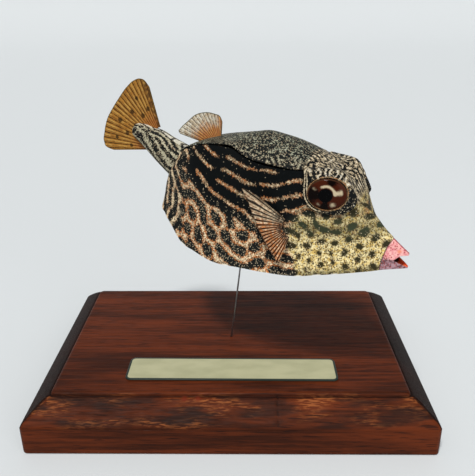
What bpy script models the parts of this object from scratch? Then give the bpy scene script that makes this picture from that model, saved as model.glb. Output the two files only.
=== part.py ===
"""Folded card model of a reticulate boxfish on a steel wire over a hardwood plaque.

Metres, +Z up. The origin lies on the floor under the middle of the plaque, and the
viewer stands on the -Y side. The fish has a frame of its own at the foot of the wire,
on the plaque's top: +X runs ahead along the fish, +Y to its left and +Z up. In that
frame its lengthwise curves are written in millimetres, as (along the fish, value).
"""

import math

import bmesh
import bpy
import numpy as np
from mathutils import Matrix, Vector

MM = 0.001
GAP = 0.3 * MM

# The plaque, its label and the wire.
BASE_LENGTH = 151 * MM
BASE_DEPTH = 100 * MM
BASE_HEIGHT = 19.6 * MM
BASE_CORNER = 1.8 * MM
BASE_PROFILE = [(0.7, 0.0), (0.2, 0.3), (0.0, 1.0), (0.0, 10.2), (0.3, 11.3), (1.3, 12.7),
                (5.2, 16.0), (8.4, 18.2), (9.5, 18.4), (9.9, 19.2), (10.4, 19.6)]
PLATE_LENGTH = 80.6 * MM
PLATE_DEPTH = 14.3 * MM
PLATE_THICKNESS = 0.5 * MM
PLATE_CORNER = 2.2 * MM
PLATE_CENTRE = (0.4 * MM, -25.9 * MM)
PLATE_TURN = math.radians(-0.4)
WIRE_RADIUS = 0.35 * MM
WIRE_FOOT = (-0.3 * MM, -1.6 * MM)
WIRE_LEAN = 0.117
WIRE_SUNK = 7 * MM
WIRE_TOP = 48 * MM

# The fish hangs with its head turned towards the viewer.
FISH_YAW = math.radians(27)
CARAPACE_REAR = -28.3
SEAM = 34.5
LID_REAR = -18.6
LID_THICKNESS = 0.5 * MM
LID_OVERHANG = 0.3 * MM
SNOUT_TIP = 69.3
STATION_STEP = 2.2

# The lips start at a bent line, and the mouth opens from its corner, as (along, height).
LIP_LINE = [(60.9, 40), (60.9, 47), (61.1, 50), (61.5, 52), (62.2, 54.5), (63.7, 57.4), (76, 90)]
LIP_SLIT = 0.17
MOUTH_CORNER = (64.7, 49.9)
UPPER_GAPE = [(66.7, 51.4), (75, 52.2)]
LOWER_GAPE = [(75, 44.75)]
MOUTH_HOLLOW = (2.6 * MM, 1.2 * MM, 1.6 * MM)
MOUTH_HOLLOW_PLACE = (67.5, 49.4)

# The eyes: an oval dome whose face turns a little forwards.
EYE_PLACE = (43.9, 12.5, 74)
EYE_SIZE = (6.3 * MM, 2.0 * MM, 5.4 * MM)
EYE_TOE = math.radians(17)

FIN_HALF = 0.26 * MM
FIN_RAY = 0.13 * MM
FIN_TIP_HALF = 0.2 * MM


def profile(*points):
    """A smooth curve through points given in millimetres, as a function in metres."""
    places, values = np.array(points, float).T * MM
    slopes = np.gradient(values, places)

    def value(place):
        i = int(np.clip(np.searchsorted(places, place) - 1, 0, len(places) - 2))
        span = places[i + 1] - places[i]
        t = min(max((place - places[i]) / span, 0.0), 1.0)
        start = (1 + 2 * t) * (1 - t) ** 2 * values[i] + t * (1 - t) ** 2 * span * slopes[i]
        end = t * t * (3 - 2 * t) * values[i + 1] - t * t * (1 - t) * span * slopes[i + 1]
        return float(start + end)

    return value


# Lengthwise curves of the body. Each section runs from the top middle over the ridge
# beside the back, the crease along the flank and the ridge beside the belly.
ridge_half = profile((-28.3, 2), (-25, 3.2), (-20, 4.1), (-15, 5.2), (-12, 6.2), (-7, 8.1),
                     (4.6, 11.5), (8.5, 12.8), (11.5, 13.8), (20, 14.2), (30, 13.9), (34.6, 12.3),
                     (46.6, 8.6), (49.5, 7.9), (52, 7.0), (54, 5.9), (56, 4.8), (58.7, 3.6),
                     (62, 2.3), (66, 1.1), (69.3, 0.3))
ridge_height = profile((-28.3, 63), (-26, 69), (-23, 74.8), (-20, 78.6), (-18, 80.1), (-12, 83),
                       (-4, 84.9), (4.6, 85.5), (8.5, 85.3), (11.5, 84.2), (15.6, 82.7),
                       (19.5, 81.7), (25, 81.2), (34.6, 80.8), (42, 80.7), (46.6, 80.4),
                       (48, 79.3), (49.6, 76), (51.2, 71.7), (52.8, 67.6), (54.8, 63.7), (57.6, 60.3),
                       (61.5, 56.9), (66, 54.4), (69.3, 52.2))
crest_height = profile((-19, 79.4), (-12, 83.1), (-3, 85.8), (3.7, 87.2), (10, 88.4), (16.2, 89.4),
                       (21, 88.7), (26, 87.6), (31, 85.9), (35, 84.2))
forehead_height = profile((34.6, 84.3), (38.5, 82.1), (43, 79.2), (46.6, 77), (49.6, 74.9),
                          (51.6, 72), (53.4, 68.8), (55.2, 65.4), (58, 62.3), (60, 60.2),
                          (62.4, 58.1), (64.4, 56.4), (66, 55.1), (69.3, 52.5))
crease_half = profile((-28.3, 2.3), (-25, 5.6), (-20, 8), (-14, 10.4), (-8, 12.3), (1, 14.1),
                      (7, 14.6), (17, 14.9), (30, 14.8), (34.6, 14.4), (45, 12.9), (52, 10.6),
                      (56, 8.5), (60, 6.1), (62, 4.8), (64.5, 3), (66, 2.3), (67.5, 1.7), (69.3, 0.5))
crease_height = profile((-28.3, 61), (-25, 66.5), (-20, 73.5), (-14, 74.5), (-8.5, 70.5),
                        (-4, 66.9), (1, 64.3), (7, 62.7), (12, 62.1), (17, 62.5), (25, 63),
                        (34.6, 63), (45, 62), (52, 60), (56, 57), (60, 53), (62, 51.6),
                        (64.7, 50.2), (66, 49.9), (69.3, 49.4))
keel_half = profile((-28.3, 2.5), (-27.5, 5.5), (-24.2, 9), (-19.2, 12), (-13.5, 15), (-6, 17.5),
                    (2, 19), (14, 20), (24.4, 19.5), (33.6, 18), (43.2, 15.5), (52.8, 12.1),
                    (58, 8.6), (62, 5.3), (65, 3.3), (67, 2.1), (68.5, 1.2), (69.3, 0.5))
keel_height = profile((-28.3, 59), (-27.5, 57.5), (-24.2, 54.7), (-19.2, 51.1), (-13.5, 46.9),
                      (-6.1, 45.2), (1.9, 43.4), (13.9, 43.7), (24.4, 43.75), (33.6, 43.8),
                      (43.2, 45.2), (52.8, 46.6), (60, 46.85), (65, 46.95), (69.3, 47.15))
belly_height = profile((-28.3, 57), (-24, 52.6), (-19, 48.9), (-13.5, 44.8), (-6, 43), (2, 41.4),
                       (14, 41.6), (24, 41.9), (33.6, 42.2), (43, 43.8), (53, 45.1), (60, 45.6),
                       (65, 46.2), (69.3, 46.8))

# The fins are fans of rays: reach against the ray's angle in degrees from +X to +Z.
CAUDAL_APEX = (-28.2, 77.8)
CAUDAL_RAYS = 18
CAUDAL_ANGLES = (105, 186.3)
CAUDAL_SLOT_REACH = 32 * MM
CAUDAL_ROOT = 6 * MM
caudal_reach = profile((105, 24.6), (108, 27.4), (112, 28.8), (118, 29.3), (126, 29.1),
                       (139, 28.7), (150, 29.1), (161, 30.1), (172, 30.7), (180, 31),
                       (184, 29.8), (186.3, 26.4))
DORSAL_APEX = (-3.6, 80.6)
DORSAL_RAYS = 12
DORSAL_ANGLES = (85, 166.5)
DORSAL_ROOT = 3.2 * MM
dorsal_reach = profile((85, 10.3), (89, 11.8), (101, 13.2), (116, 14.7), (131, 16), (147, 16.9),
                       (160, 18.5), (164.5, 18.9), (166.5, 18))
PECTORAL_APEX = (32.5, 61)
PECTORAL_RAYS = 16
PECTORAL_ANGLES = (140, 259.5)
PECTORAL_ROOT = 3.5 * MM
PECTORAL_STAND_OFF = 3.4 * MM
PECTORAL_PLEAT = 0.3 * MM
pectoral_reach = profile((140, 16.2), (144.7, 21.2), (150, 18.1), (161, 14.7), (175, 12.05),
                         (192, 10.1), (217, 9.2), (237, 9.6), (250, 10.5), (256.5, 11.3),
                         (259.5, 10.4))


def clear_scene():
    for item in list(bpy.data.objects):
        bpy.data.objects.remove(item, do_unlink=True)


def make_collection(name):
    group = bpy.data.collections.new(name)
    bpy.context.scene.collection.children.link(group)
    return group


def make_material(name, colour, roughness, metallic=0.0):
    made = bpy.data.materials.new(name)
    made.use_nodes = True
    shader = made.node_tree.nodes["Principled BSDF"]
    shader.inputs["Base Color"].default_value = (*colour, 1.0)
    shader.inputs["Roughness"].default_value = roughness
    shader.inputs["Metallic"].default_value = metallic
    return made


def add_object(name, shape, material, group, parent=None):
    """Put a bmesh into a new object and free it."""
    bmesh.ops.recalc_face_normals(shape, faces=shape.faces)
    bmesh.ops.triangulate(shape, faces=shape.faces)
    mesh = bpy.data.meshes.new(name)
    shape.to_mesh(mesh)
    shape.free()
    made = bpy.data.objects.new(name, mesh)
    group.objects.link(made)
    made.parent = parent
    if material is not None:
        mesh.materials.append(material)
    return made


def loft(rings):
    """A closed body through rings with the same number of points."""
    shape = bmesh.new()
    loops = [[shape.verts.new(point) for point in ring] for ring in rings]
    for near, far in zip(loops, loops[1:]):
        for i, start in enumerate(near):
            j = (i + 1) % len(near)
            shape.faces.new((start, near[j], far[j], far[i]))
    shape.faces.new(loops[0])
    shape.faces.new(reversed(loops[-1]))
    return shape


def cutter_of(source, name, amount, group):
    """A copy of an object's plain mesh, swollen by an even amount, for cutting others."""
    shape = bmesh.new()
    shape.from_mesh(source.data)
    shape.normal_update()
    moves = [vert.normal * amount * min(vert.calc_shell_factor(), 2.0) for vert in shape.verts]
    for vert, move in zip(shape.verts, moves):
        vert.co += move
    made = add_object(name, shape, None, group, source.parent)
    made.matrix_basis = source.matrix_basis.copy()
    hide_cutter(made)
    return made


def hide_cutter(made):
    made.hide_render = True
    made.display_type = "WIRE"


def boolean(target, cutter, operation="DIFFERENCE"):
    step = target.modifiers.new(cutter.name, "BOOLEAN")
    step.operation = operation
    step.object = cutter
    step.solver = "EXACT"


def stations(start, end):
    """Places along the fish, at even steps, from start to end in millimetres."""
    count = max(2, round((end - start) / STATION_STEP) + 1)
    return [place * MM for place in np.linspace(start, end, count)]


def between(start, end, t, inward):
    """A point between two section points, drawn towards the middle by a shallow curve."""
    half = start[0] + (end[0] - start[0]) * t - inward * 4 * t * (1 - t)
    return half, start[1] + (end[1] - start[1]) * t


def mirrored_ring(place, half_section):
    """A closed section from its right half, given from top middle to bottom middle."""
    right = [Vector((place, -half, height)) for half, height in half_section]
    left = [Vector((place, half, height)) for half, height in reversed(half_section[1:-1])]
    return right + left


def flank_points(place, ridge):
    """From the back's ridge down over the crease and the belly's ridge to the middle."""
    crease = (crease_half(place), crease_height(place))
    keel = (keel_half(place), keel_height(place))
    upper_hollow = 0.035 * (ridge[1] - crease[1])
    lower_hollow = 0.045 * (crease[1] - keel[1])
    points = [ridge]
    points += [between(ridge, crease, t, upper_hollow) for t in (0.3, 0.65)]
    points += [crease]
    points += [between(crease, keel, t, lower_hollow) for t in (0.35, 0.7)]
    points += [(keel[0], keel[1]), (keel[0] * 0.93, keel[1] - 0.5 * MM)]
    points += [(keel[0] * 0.5, keel[1] * 0.25 + belly_height(place) * 0.75)]
    points += [(0.0, belly_height(place))]
    return points


def carapace_ring(place):
    seat = ridge_height(place) - LID_THICKNESS - GAP
    half = ridge_half(place)
    section = [(0.0, seat), (half * 0.5, seat)]
    return mirrored_ring(place, section + flank_points(place, (half, seat)))


def head_ring(place):
    """The forehead lies between the brows, rounds over at the snout and ends in the lips."""
    half = ridge_half(place)
    middle = forehead_height(place)
    brow = ridge_height(place)
    arch = 0.35 * max(0.0, middle - brow)
    section = [(0.0, middle), (half * 0.55, max(middle - arch, min(middle, brow + arch)))]
    return mirrored_ring(place, section + flank_points(place, (half, brow)))


def lid_ring(place):
    """The panel of the back: flat below and arched above, with a thin rim."""
    half = ridge_half(place) + LID_OVERHANG
    rim = ridge_height(place)
    rise = max(crest_height(place) - rim, 0.15 * MM)
    arch = [(half * t, rim + rise * (1 - t ** 1.8)) for t in (0.0, 0.25, 0.5, 0.75, 1.0)]
    under = [(half * t, rim - LID_THICKNESS) for t in (1.0, 0.5, 0.0)]
    return mirrored_ring(place, arch + under)


def rounded_rectangle(length, depth, corner, height, steps=3):
    """Points round a rectangle with rounded corners, in a level plane."""
    points = []
    for quarter in range(4):
        across = 1 if quarter in (0, 3) else -1
        along = 1 if quarter in (0, 1) else -1
        middle = Vector((across * (length / 2 - corner), along * (depth / 2 - corner), height))
        for step in range(steps + 1):
            angle = math.radians(90 * (quarter + step / steps))
            points.append(middle + corner * Vector((math.cos(angle), math.sin(angle), 0)))
    return points


def make_base(group, material):
    rings = []
    for inset, height in BASE_PROFILE:
        length = BASE_LENGTH - 2 * inset * MM
        depth = BASE_DEPTH - 2 * inset * MM
        rings.append(rounded_rectangle(length, depth, BASE_CORNER, height * MM))
    return add_object("stand_base", loft(rings), material, group)


def make_plate(group, material):
    rings = [rounded_rectangle(PLATE_LENGTH, PLATE_DEPTH, PLATE_CORNER, height)
             for height in (0.0, PLATE_THICKNESS)]
    plate = add_object("stand_plate", loft(rings), material, group)
    plate.location = (*PLATE_CENTRE, BASE_HEIGHT + GAP)
    plate.rotation_euler = (0, 0, PLATE_TURN)
    return plate


def make_wire(group, material):
    """A straight rod that leans a little, sunk into the plaque and into the belly."""
    shape = bmesh.new()
    length = WIRE_SUNK + WIRE_TOP
    bmesh.ops.create_cone(shape, cap_ends=True, segments=10, radius1=WIRE_RADIUS,
                          radius2=WIRE_RADIUS, depth=length,
                          matrix=Matrix.Translation((0, 0, length / 2 - WIRE_SUNK)))
    wire = add_object("stand_wire", shape, material, group)
    wire.location = (*WIRE_FOOT, BASE_HEIGHT)
    wire.rotation_euler = (0, WIRE_LEAN, 0)
    return wire


def prism(name, outline, width, group, parent):
    """A closed prism across the fish from an outline of (along, height) points."""
    rings = [[Vector((along * MM, side * width / 2, height * MM)) for along, height in outline]
             for side in (-1, 1)]
    made = add_object(name, loft(rings), None, group, parent)
    hide_cutter(made)
    return made


def oval(name, size, group, parent, matrix, material=None):
    """An ellipsoid with its poles along its own Y, whose face shows the smooth rings."""
    shape = bmesh.new()
    bmesh.ops.create_uvsphere(shape, u_segments=28, v_segments=16, radius=1.0)
    bmesh.ops.rotate(shape, matrix=Matrix.Rotation(math.radians(90), 3, "X"), verts=shape.verts)
    bmesh.ops.scale(shape, vec=size, verts=shape.verts)
    made = add_object(name, shape, material, group, parent)
    made.matrix_basis = matrix
    return made


def make_eye(side, name, group, parent, material):
    along, out, height = (value * MM for value in EYE_PLACE)
    turn = Matrix.Rotation(side * -EYE_TOE, 4, "Z")
    place = Matrix.Translation((along, side * out, height)) @ turn
    return oval(name, EYE_SIZE, group, parent, place, material)


# The turret's edge on the right side, as (along, out from the middle, height).
TURRET_EDGE = [(35.1, 12.5, 81), (35, 13.1, 77.6), (35.1, 13.7, 73.3), (36.1, 14, 70.3),
               (38.3, 13.9, 67.9), (41.7, 13.4, 66.8), (45.4, 12.5, 66.5), (48.8, 11.2, 67),
               (51, 9.9, 68.2), (52.2, 8.7, 70.2), (51.9, 7.9, 72.2), (50.1, 8, 75.5),
               (47.8, 8.6, 79), (46.1, 9.2, 80.6), (42.5, 10.2, 81.1), (38.5, 11.4, 81.2)]
TURRET_ROOT = 4 * MM
TURRET_ROOT_SHRINK = 0.55
TURRET_WALL = 0.6 * MM
TURRET_ROUNDING = 0.25 * MM
TURRET_DOME = 1.1 * MM
TURRET_SHRINKS = (0.88, 0.72, 0.5, 0.25)


def make_turret(side, name, group, parent, material):
    """The raised plate round an eye: an edge wall and a shallow dome inside it."""
    edge = [Vector((along, side * out, height)) * MM for along, out, height in TURRET_EDGE]
    middle = sum(edge, Vector()) / len(edge)
    outward = Vector((math.sin(EYE_TOE), side * math.cos(EYE_TOE), 0))
    rings = [[middle + (point - middle) * TURRET_ROOT_SHRINK - outward * TURRET_ROOT for point in edge]]
    rings += [[point - outward * depth for point in edge] for depth in (TURRET_WALL, TURRET_ROUNDING)]
    for shrink in TURRET_SHRINKS:
        rise = outward * TURRET_DOME * (1 - shrink ** 2) ** 0.8
        rings.append([middle + (point - middle) * shrink + rise for point in edge])
    return add_object(name, loft(rings), material, group, parent)


def slab(points, halves, side):
    """A thin closed sheet from a grid of middle points, split alike on both faces."""
    shape = bmesh.new()
    faces = []
    for sign in (1, -1):
        grid = [[shape.verts.new(point + side * (sign * half)) for point, half in zip(row, thick)]
                for row, thick in zip(points, halves)]
        faces.append(grid)
    front, back = faces
    for i in range(len(front) - 1):
        for j in range(len(front[0]) - 1):
            for grid in (front, back):
                shape.faces.new((grid[i][j], grid[i + 1][j], grid[i + 1][j + 1]))
                shape.faces.new((grid[i][j], grid[i + 1][j + 1], grid[i][j + 1]))
    border = [(i, 0) for i in range(len(front))]
    border += [(len(front) - 1, j) for j in range(1, len(front[0]))]
    border += [(i, len(front[0]) - 1) for i in range(len(front) - 2, -1, -1)]
    border += [(0, j) for j in range(len(front[0]) - 2, 0, -1)]
    for (i, j), (k, m) in zip(border, border[1:] + border[:1]):
        shape.faces.new((front[i][j], front[k][m], back[k][m], back[i][j]))
    return shape


def fan_grid(apex, reach, angles, root, rays, rows):
    """Spokes of a fan: each has its angle, its place from 0 to 1 and if it is a ray."""
    columns = 2 * rays - 1
    spokes = []
    for column in range(columns):
        degrees = angles[0] + (angles[1] - angles[0]) * column / (columns - 1)
        length = reach(degrees * MM)
        turn = math.radians(degrees)
        outward = Vector((math.cos(turn), 0, math.sin(turn)))
        middle = Vector((apex[0], 0, apex[1])) * MM
        radii = [root + (length - root) * row / rows for row in range(rows + 1)]
        spokes.append(([middle + outward * radius for radius in radii], column % 2 == 0))
    return spokes


def make_flat_fin(name, apex, reach, angles, root, rays, group, parent, material, rows=6):
    """A flat fan in the middle plane, with its rays as low ridges on both faces."""
    spokes = fan_grid(apex, reach, angles, root, rays, rows)
    points = []
    halves = []
    for spoke, is_ray in spokes:
        ray = FIN_RAY if is_ray else 0.0
        points.append(spoke)
        halves.append([FIN_HALF + ray + (FIN_TIP_HALF - FIN_HALF - ray) * (row / rows) ** 3
                       for row in range(rows + 1)])
    return add_object(name, slab(points, halves, Vector((0, 1, 0))), material, group, parent)


def fan_slot(name, apex, reach, angles, root, group, parent):
    """A flat cutter round a fan's root, a gap wider than the fan on every side."""
    margin = math.degrees(GAP / root)
    turns = [math.radians(degrees) for degrees in
             np.linspace(angles[0] - margin, angles[1] + margin, 9)]
    rim = [(root - GAP, turn) for turn in turns]
    rim += [(reach, turn) for turn in reversed(turns)]
    outline = [(apex[0] + radius / MM * math.cos(turn), apex[1] + radius / MM * math.sin(turn))
               for radius, turn in rim]
    return prism(name, outline, 2 * (FIN_HALF + FIN_RAY + GAP), group, parent)


def make_pectoral(side, name, group, parent, material, rows=5):
    """A pleated fan beside the flank: its root lies close, and its long edge stands off."""
    spokes = fan_grid(PECTORAL_APEX, pectoral_reach, PECTORAL_ANGLES, PECTORAL_ROOT, PECTORAL_RAYS, rows)
    points = []
    for number, (spoke, is_ray) in enumerate(spokes):
        pleat = PECTORAL_PLEAT if is_ray else -PECTORAL_PLEAT
        row_points = []
        for row, point in enumerate(spoke):
            share = row / rows
            flank = crease_half(point.x)
            if point.z < crease_height(point.x):
                drop = crease_height(point.x) - point.z
                flank += (keel_half(point.x) - flank) * drop / (crease_height(point.x) - keel_height(point.x))
            out = flank + 0.9 * MM + PECTORAL_STAND_OFF * share ** 1.3 + pleat * (0.3 + 0.7 * share)
            row_points.append(Vector((point.x, side * out, point.z)))
        points.append(row_points)
    halves = [[FIN_HALF] * (rows + 1) for spoke in points]
    return add_object(name, slab(points, halves, Vector((0, side, 0))), material, group, parent)


# The tail stalk, from inside the body to its rounded end: along, height, half height
# across its own axis and half width.
PEDUNCLE = [(-20, 73, 7.2, 5.6), (-24, 75.1, 6.5, 5.2), (-28.5, 77.7, 5.8, 4.6),
            (-32, 80, 5.4, 3.9), (-35.5, 81.9, 4.6, 3.3), (-38.4, 83.3, 4, 2.9),
            (-40.8, 84.3, 3.3, 2.5), (-42.4, 84.9, 2.4, 2), (-43.2, 85.2, 1.2, 1.2)]
PEDUNCLE_AXIS = math.radians(152)
PEDUNCLE_SIDES = 16


def make_peduncle(group, parent, material):
    upright = Vector((math.sin(PEDUNCLE_AXIS), 0, -math.cos(PEDUNCLE_AXIS)))
    rings = []
    for along, height, half_height, half_width in PEDUNCLE:
        middle = Vector((along, 0, height))
        ring = []
        for step in range(PEDUNCLE_SIDES):
            angle = 2 * math.pi * step / PEDUNCLE_SIDES
            across = math.copysign(abs(math.cos(angle)) ** 0.7, math.cos(angle)) * half_width
            up = math.copysign(abs(math.sin(angle)) ** 0.7, math.sin(angle)) * half_height
            ring.append((middle + Vector((0, across, 0)) + upright * up) * MM)
        rings.append(ring)
    return add_object("peduncle", loft(rings), material, group, parent)


def side_cutter(name, edge, shift, limit, cutters, fish):
    """A prism from an edge of (along, height) points, moved by the shift, out to a limit.

    The limit is a place along the fish or a height, whichever of the two is given.
    """
    outline = [(along + shift[0], height + shift[1]) for along, height in edge]
    along, height = limit
    first, last = outline[0], outline[-1]
    outline.append((last[0] if along is None else along, last[1] if height is None else height))
    outline.append((first[0] if along is None else along, first[1] if height is None else height))
    return prism(name, outline, 60 * MM, cutters, fish)


def make_snout(parts, cutters, fish, materials):
    """The head and the two lips come from one loft, parted by thin cuts."""
    rings = [head_ring(place) for place in stations(SEAM + 0.15, SNOUT_TIP)]
    head = add_object("head", loft(rings), materials["cheek"], parts, fish)
    boolean(head, side_cutter("ahead_of_lip_line", LIP_LINE, (-LIP_SLIT, 0), (80, None), cutters, fish))
    behind = side_cutter("behind_lip_line", LIP_LINE, (LIP_SLIT, 0), (20, None), cutters, fish)

    corner_x, corner_z = MOUTH_CORNER
    slit = GAP / MM / 2
    slit_start = (corner_x - 14, corner_z)
    below = side_cutter("below_upper_lip", [slit_start, MOUTH_CORNER] + UPPER_GAPE, (0, slit),
                        (None, 30), cutters, fish)
    above = side_cutter("above_lower_lip", [slit_start, MOUTH_CORNER] + LOWER_GAPE, (0, -slit),
                        (None, 70), cutters, fish)
    hollow_x, hollow_z = MOUTH_HOLLOW_PLACE
    hollow = oval("mouth_hollow", MOUTH_HOLLOW, cutters, fish,
                  Matrix.Translation((hollow_x * MM, 0, hollow_z * MM)))
    hide_cutter(hollow)
    for name, cuts in (("upper_lip", (behind, below)), ("lower_lip", (behind, hollow, above))):
        lip = add_object(name, loft(rings), materials["lip"], parts, fish)
        for cutter in cuts:
            boolean(lip, cutter)
    return head


def make_fish(parts, cutters, materials):
    fish = bpy.data.objects.new("fish_frame", None)
    parts.objects.link(fish)
    fish.location = (*WIRE_FOOT, BASE_HEIGHT)
    fish.rotation_euler = (0, 0, -FISH_YAW)

    carapace_places = stations(CARAPACE_REAR, SEAM - 0.15)
    carapace = add_object("carapace", loft([carapace_ring(place) for place in carapace_places]),
                          materials["flank"], parts, fish)
    lid_places = [place for place in carapace_places if place > LID_REAR * MM]
    lid = add_object("back", loft([lid_ring(place) for place in lid_places]),
                     materials["back"], parts, fish)
    head = make_snout(parts, cutters, fish, materials)

    head_room = cutter_of(head, "head_room", GAP, cutters)
    carapace_room = cutter_of(carapace, "carapace_room", GAP, cutters)
    lid_room = cutter_of(lid, "lid_room", GAP, cutters)

    for side, name in ((-1, "right"), (1, "left")):
        eye = make_eye(side, "eye_" + name, parts, fish, materials["eye"])
        eye_room = cutter_of(eye, "eye_room_" + name, GAP, cutters)
        turret = make_turret(side, "turret_" + name, parts, fish, materials["turret"])
        for room in (head_room, carapace_room, lid_room, eye_room):
            boolean(turret, room)
        boolean(head, eye_room)
        make_pectoral(side, "pectoral_fin_" + name, parts, fish, materials["fin"])

    make_flat_fin("caudal_fin", CAUDAL_APEX, caudal_reach, CAUDAL_ANGLES, CAUDAL_ROOT,
                  CAUDAL_RAYS, parts, fish, materials["tail_fin"])
    dorsal = make_flat_fin("dorsal_fin", DORSAL_APEX, dorsal_reach, DORSAL_ANGLES, DORSAL_ROOT,
                           DORSAL_RAYS, parts, fish, materials["fin"])
    boolean(dorsal, lid_room)
    boolean(dorsal, carapace_room)

    peduncle = make_peduncle(parts, fish, materials["flank"])
    slot = fan_slot("caudal_slot", CAUDAL_APEX, CAUDAL_SLOT_REACH, CAUDAL_ANGLES, CAUDAL_ROOT,
                    cutters, fish)
    for room in (slot, carapace_room, lid_room):
        boolean(peduncle, room)
    return carapace


def main():
    clear_scene()
    parts = make_collection("boxfish_paper_model")
    cutters = make_collection("cutters")
    materials = {
        "wood": make_material("stained_hardwood", (0.13, 0.03, 0.012), 0.35),
        "label": make_material("label", (0.38, 0.40, 0.22), 0.3),
        "steel": make_material("steel_wire", (0.5, 0.5, 0.52), 0.3, 1.0),
        "flank": make_material("flank_card", (0.07, 0.06, 0.05), 0.5),
        "back": make_material("back_card", (0.14, 0.14, 0.13), 0.5),
        "cheek": make_material("cheek_card", (0.70, 0.57, 0.22), 0.5),
        "turret": make_material("turret_card", (0.20, 0.17, 0.12), 0.5),
        "lip": make_material("lip_card", (0.75, 0.28, 0.28), 0.5),
        "eye": make_material("eye_gloss", (0.12, 0.02, 0.01), 0.08),
        "fin": make_material("fin_card", (0.75, 0.42, 0.18), 0.5),
        "tail_fin": make_material("tail_fin_card", (0.62, 0.30, 0.05), 0.5),
    }
    base = make_base(parts, materials["wood"])
    make_plate(parts, materials["label"])
    wire = make_wire(parts, materials["steel"])
    carapace = make_fish(parts, cutters, materials)
    wire_room = cutter_of(wire, "wire_room", GAP, cutters)
    boolean(base, wire_room)
    boolean(carapace, wire_room)


main()
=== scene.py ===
"""Looks of the folded card boxfish, its wire and its hardwood plaque.

Lengths are in millimetres and in the fish's own frame until a mesh is made: +X ahead
along the fish, +Y to its left, +Z up from the plaque's top at the foot of the wire.
"""

import math

import bpy
import numpy as np
from mathutils import Matrix, Vector


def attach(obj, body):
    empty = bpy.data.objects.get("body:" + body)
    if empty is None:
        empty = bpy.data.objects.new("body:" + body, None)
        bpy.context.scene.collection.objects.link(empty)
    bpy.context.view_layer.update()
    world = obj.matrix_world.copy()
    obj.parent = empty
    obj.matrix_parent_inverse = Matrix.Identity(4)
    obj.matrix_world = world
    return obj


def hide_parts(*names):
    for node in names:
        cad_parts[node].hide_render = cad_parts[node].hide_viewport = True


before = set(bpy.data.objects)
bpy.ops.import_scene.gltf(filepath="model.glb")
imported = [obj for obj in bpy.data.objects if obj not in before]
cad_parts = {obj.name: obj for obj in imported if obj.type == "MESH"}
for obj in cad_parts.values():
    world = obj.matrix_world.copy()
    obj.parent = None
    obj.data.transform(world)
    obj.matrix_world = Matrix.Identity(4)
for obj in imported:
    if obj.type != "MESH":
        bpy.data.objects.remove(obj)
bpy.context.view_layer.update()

MM = 0.001
BODY = "root"

# The plaque, its label and the wire, laid out as in the solids.
BASE_LENGTH = 151.0
BASE_DEPTH = 100.0
BASE_HEIGHT = 19.6
BASE_CORNER = 1.8
PLATE_LENGTH = 80.6
PLATE_DEPTH = 14.3
PLATE_THICKNESS = 0.5
PLATE_CORNER = 2.2
PLATE_CENTRE = (0.4, -25.9)
PLATE_TURN = math.radians(-0.4)
PLATE_LIFT = 0.1
WIRE_RADIUS = 0.33
WIRE_FOOT = (-0.3, -1.6)
WIRE_LEAN = 0.117
WIRE_SUNK = 7.0
WIRE_TOP = 47.6

# The fish, laid out as in the solids.
FISH_YAW = math.radians(27)
CARAPACE_REAR = -28.3
SEAM = 34.5
LID_REAR = -18.6
LIP_LINE = np.array([(60.9, 40), (60.9, 47), (61.1, 50), (61.5, 52), (62.2, 54.5), (63.7, 57.4), (76, 90)])
SNOUT_TIP = 69.2
MOUTH_CORNER = (64.7, 49.9)
UPPER_GAPE = np.array([MOUTH_CORNER, (66.7, 51.4), (75, 52.2)])
LOWER_GAPE = np.array([MOUTH_CORNER, (75, 44.4)])

# The right eye, a little lower and further back than in the solids.
EYE_PLACE = (43.3, 12.7, 73.3)
EYE_SIZE = (6.5, 1.5, 5.3)
EYE_TOE = math.radians(17)

# The card: seats and gaps where its pieces meet, how far its panels are drawn in, and
# the power of the curve by which the back and forehead arch.
SEAM_GAP = 0.03
LID_SEAT = 0.75
LID_OVERHANG = 0.35
LID_THICKNESS = 0.32
LIP_GAP = 0.05
LIP_FLAT = 0.45
MOUTH_SLIT = 0.03
UPPER_HOLLOW = 0.035
LOWER_HOLLOW = 0.045
ARCH = 1.8

# Where the near rim of the back panel stands off, as (along, width, rise).
RIM_LIFTS = [(7, 5.5, 0.75), (22, 6.5, 0.55)]

# The lip line is met by repeated steps from a first guess.
LIP_GUESS = 62.0
MEETING_ROUNDS = 6


def on_base(place, lift=0.0):
    """The matrix of a place on the plaque's top, in millimetres."""
    return Matrix.Translation(Vector((*place, BASE_HEIGHT + lift)) * MM)


FISH_PLACE = on_base(WIRE_FOOT) @ Matrix.Rotation(-FISH_YAW, 4, "Z")


def profile(*points):
    """A smooth curve through (place, value) points, as a function of arrays."""
    places, values = np.array(points, float).T
    slopes = np.gradient(values, places)

    def value(place):
        place = np.asarray(place, float)
        i = np.clip(np.searchsorted(places, place) - 1, 0, len(places) - 2)
        span = places[i + 1] - places[i]
        t = np.clip((place - places[i]) / span, 0.0, 1.0)
        start = (1 + 2 * t) * (1 - t) ** 2 * values[i] + t * (1 - t) ** 2 * span * slopes[i]
        end = t * t * (3 - 2 * t) * values[i + 1] - t * t * (1 - t) * span * slopes[i + 1]
        return start + end

    return value


def smooth_rows(table, at):
    """Each column of a table as a smooth curve, read at places counted in rows."""
    spots = np.arange(len(table))
    return [profile(*zip(spots, column))(at) for column in np.transpose(table)]


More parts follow.
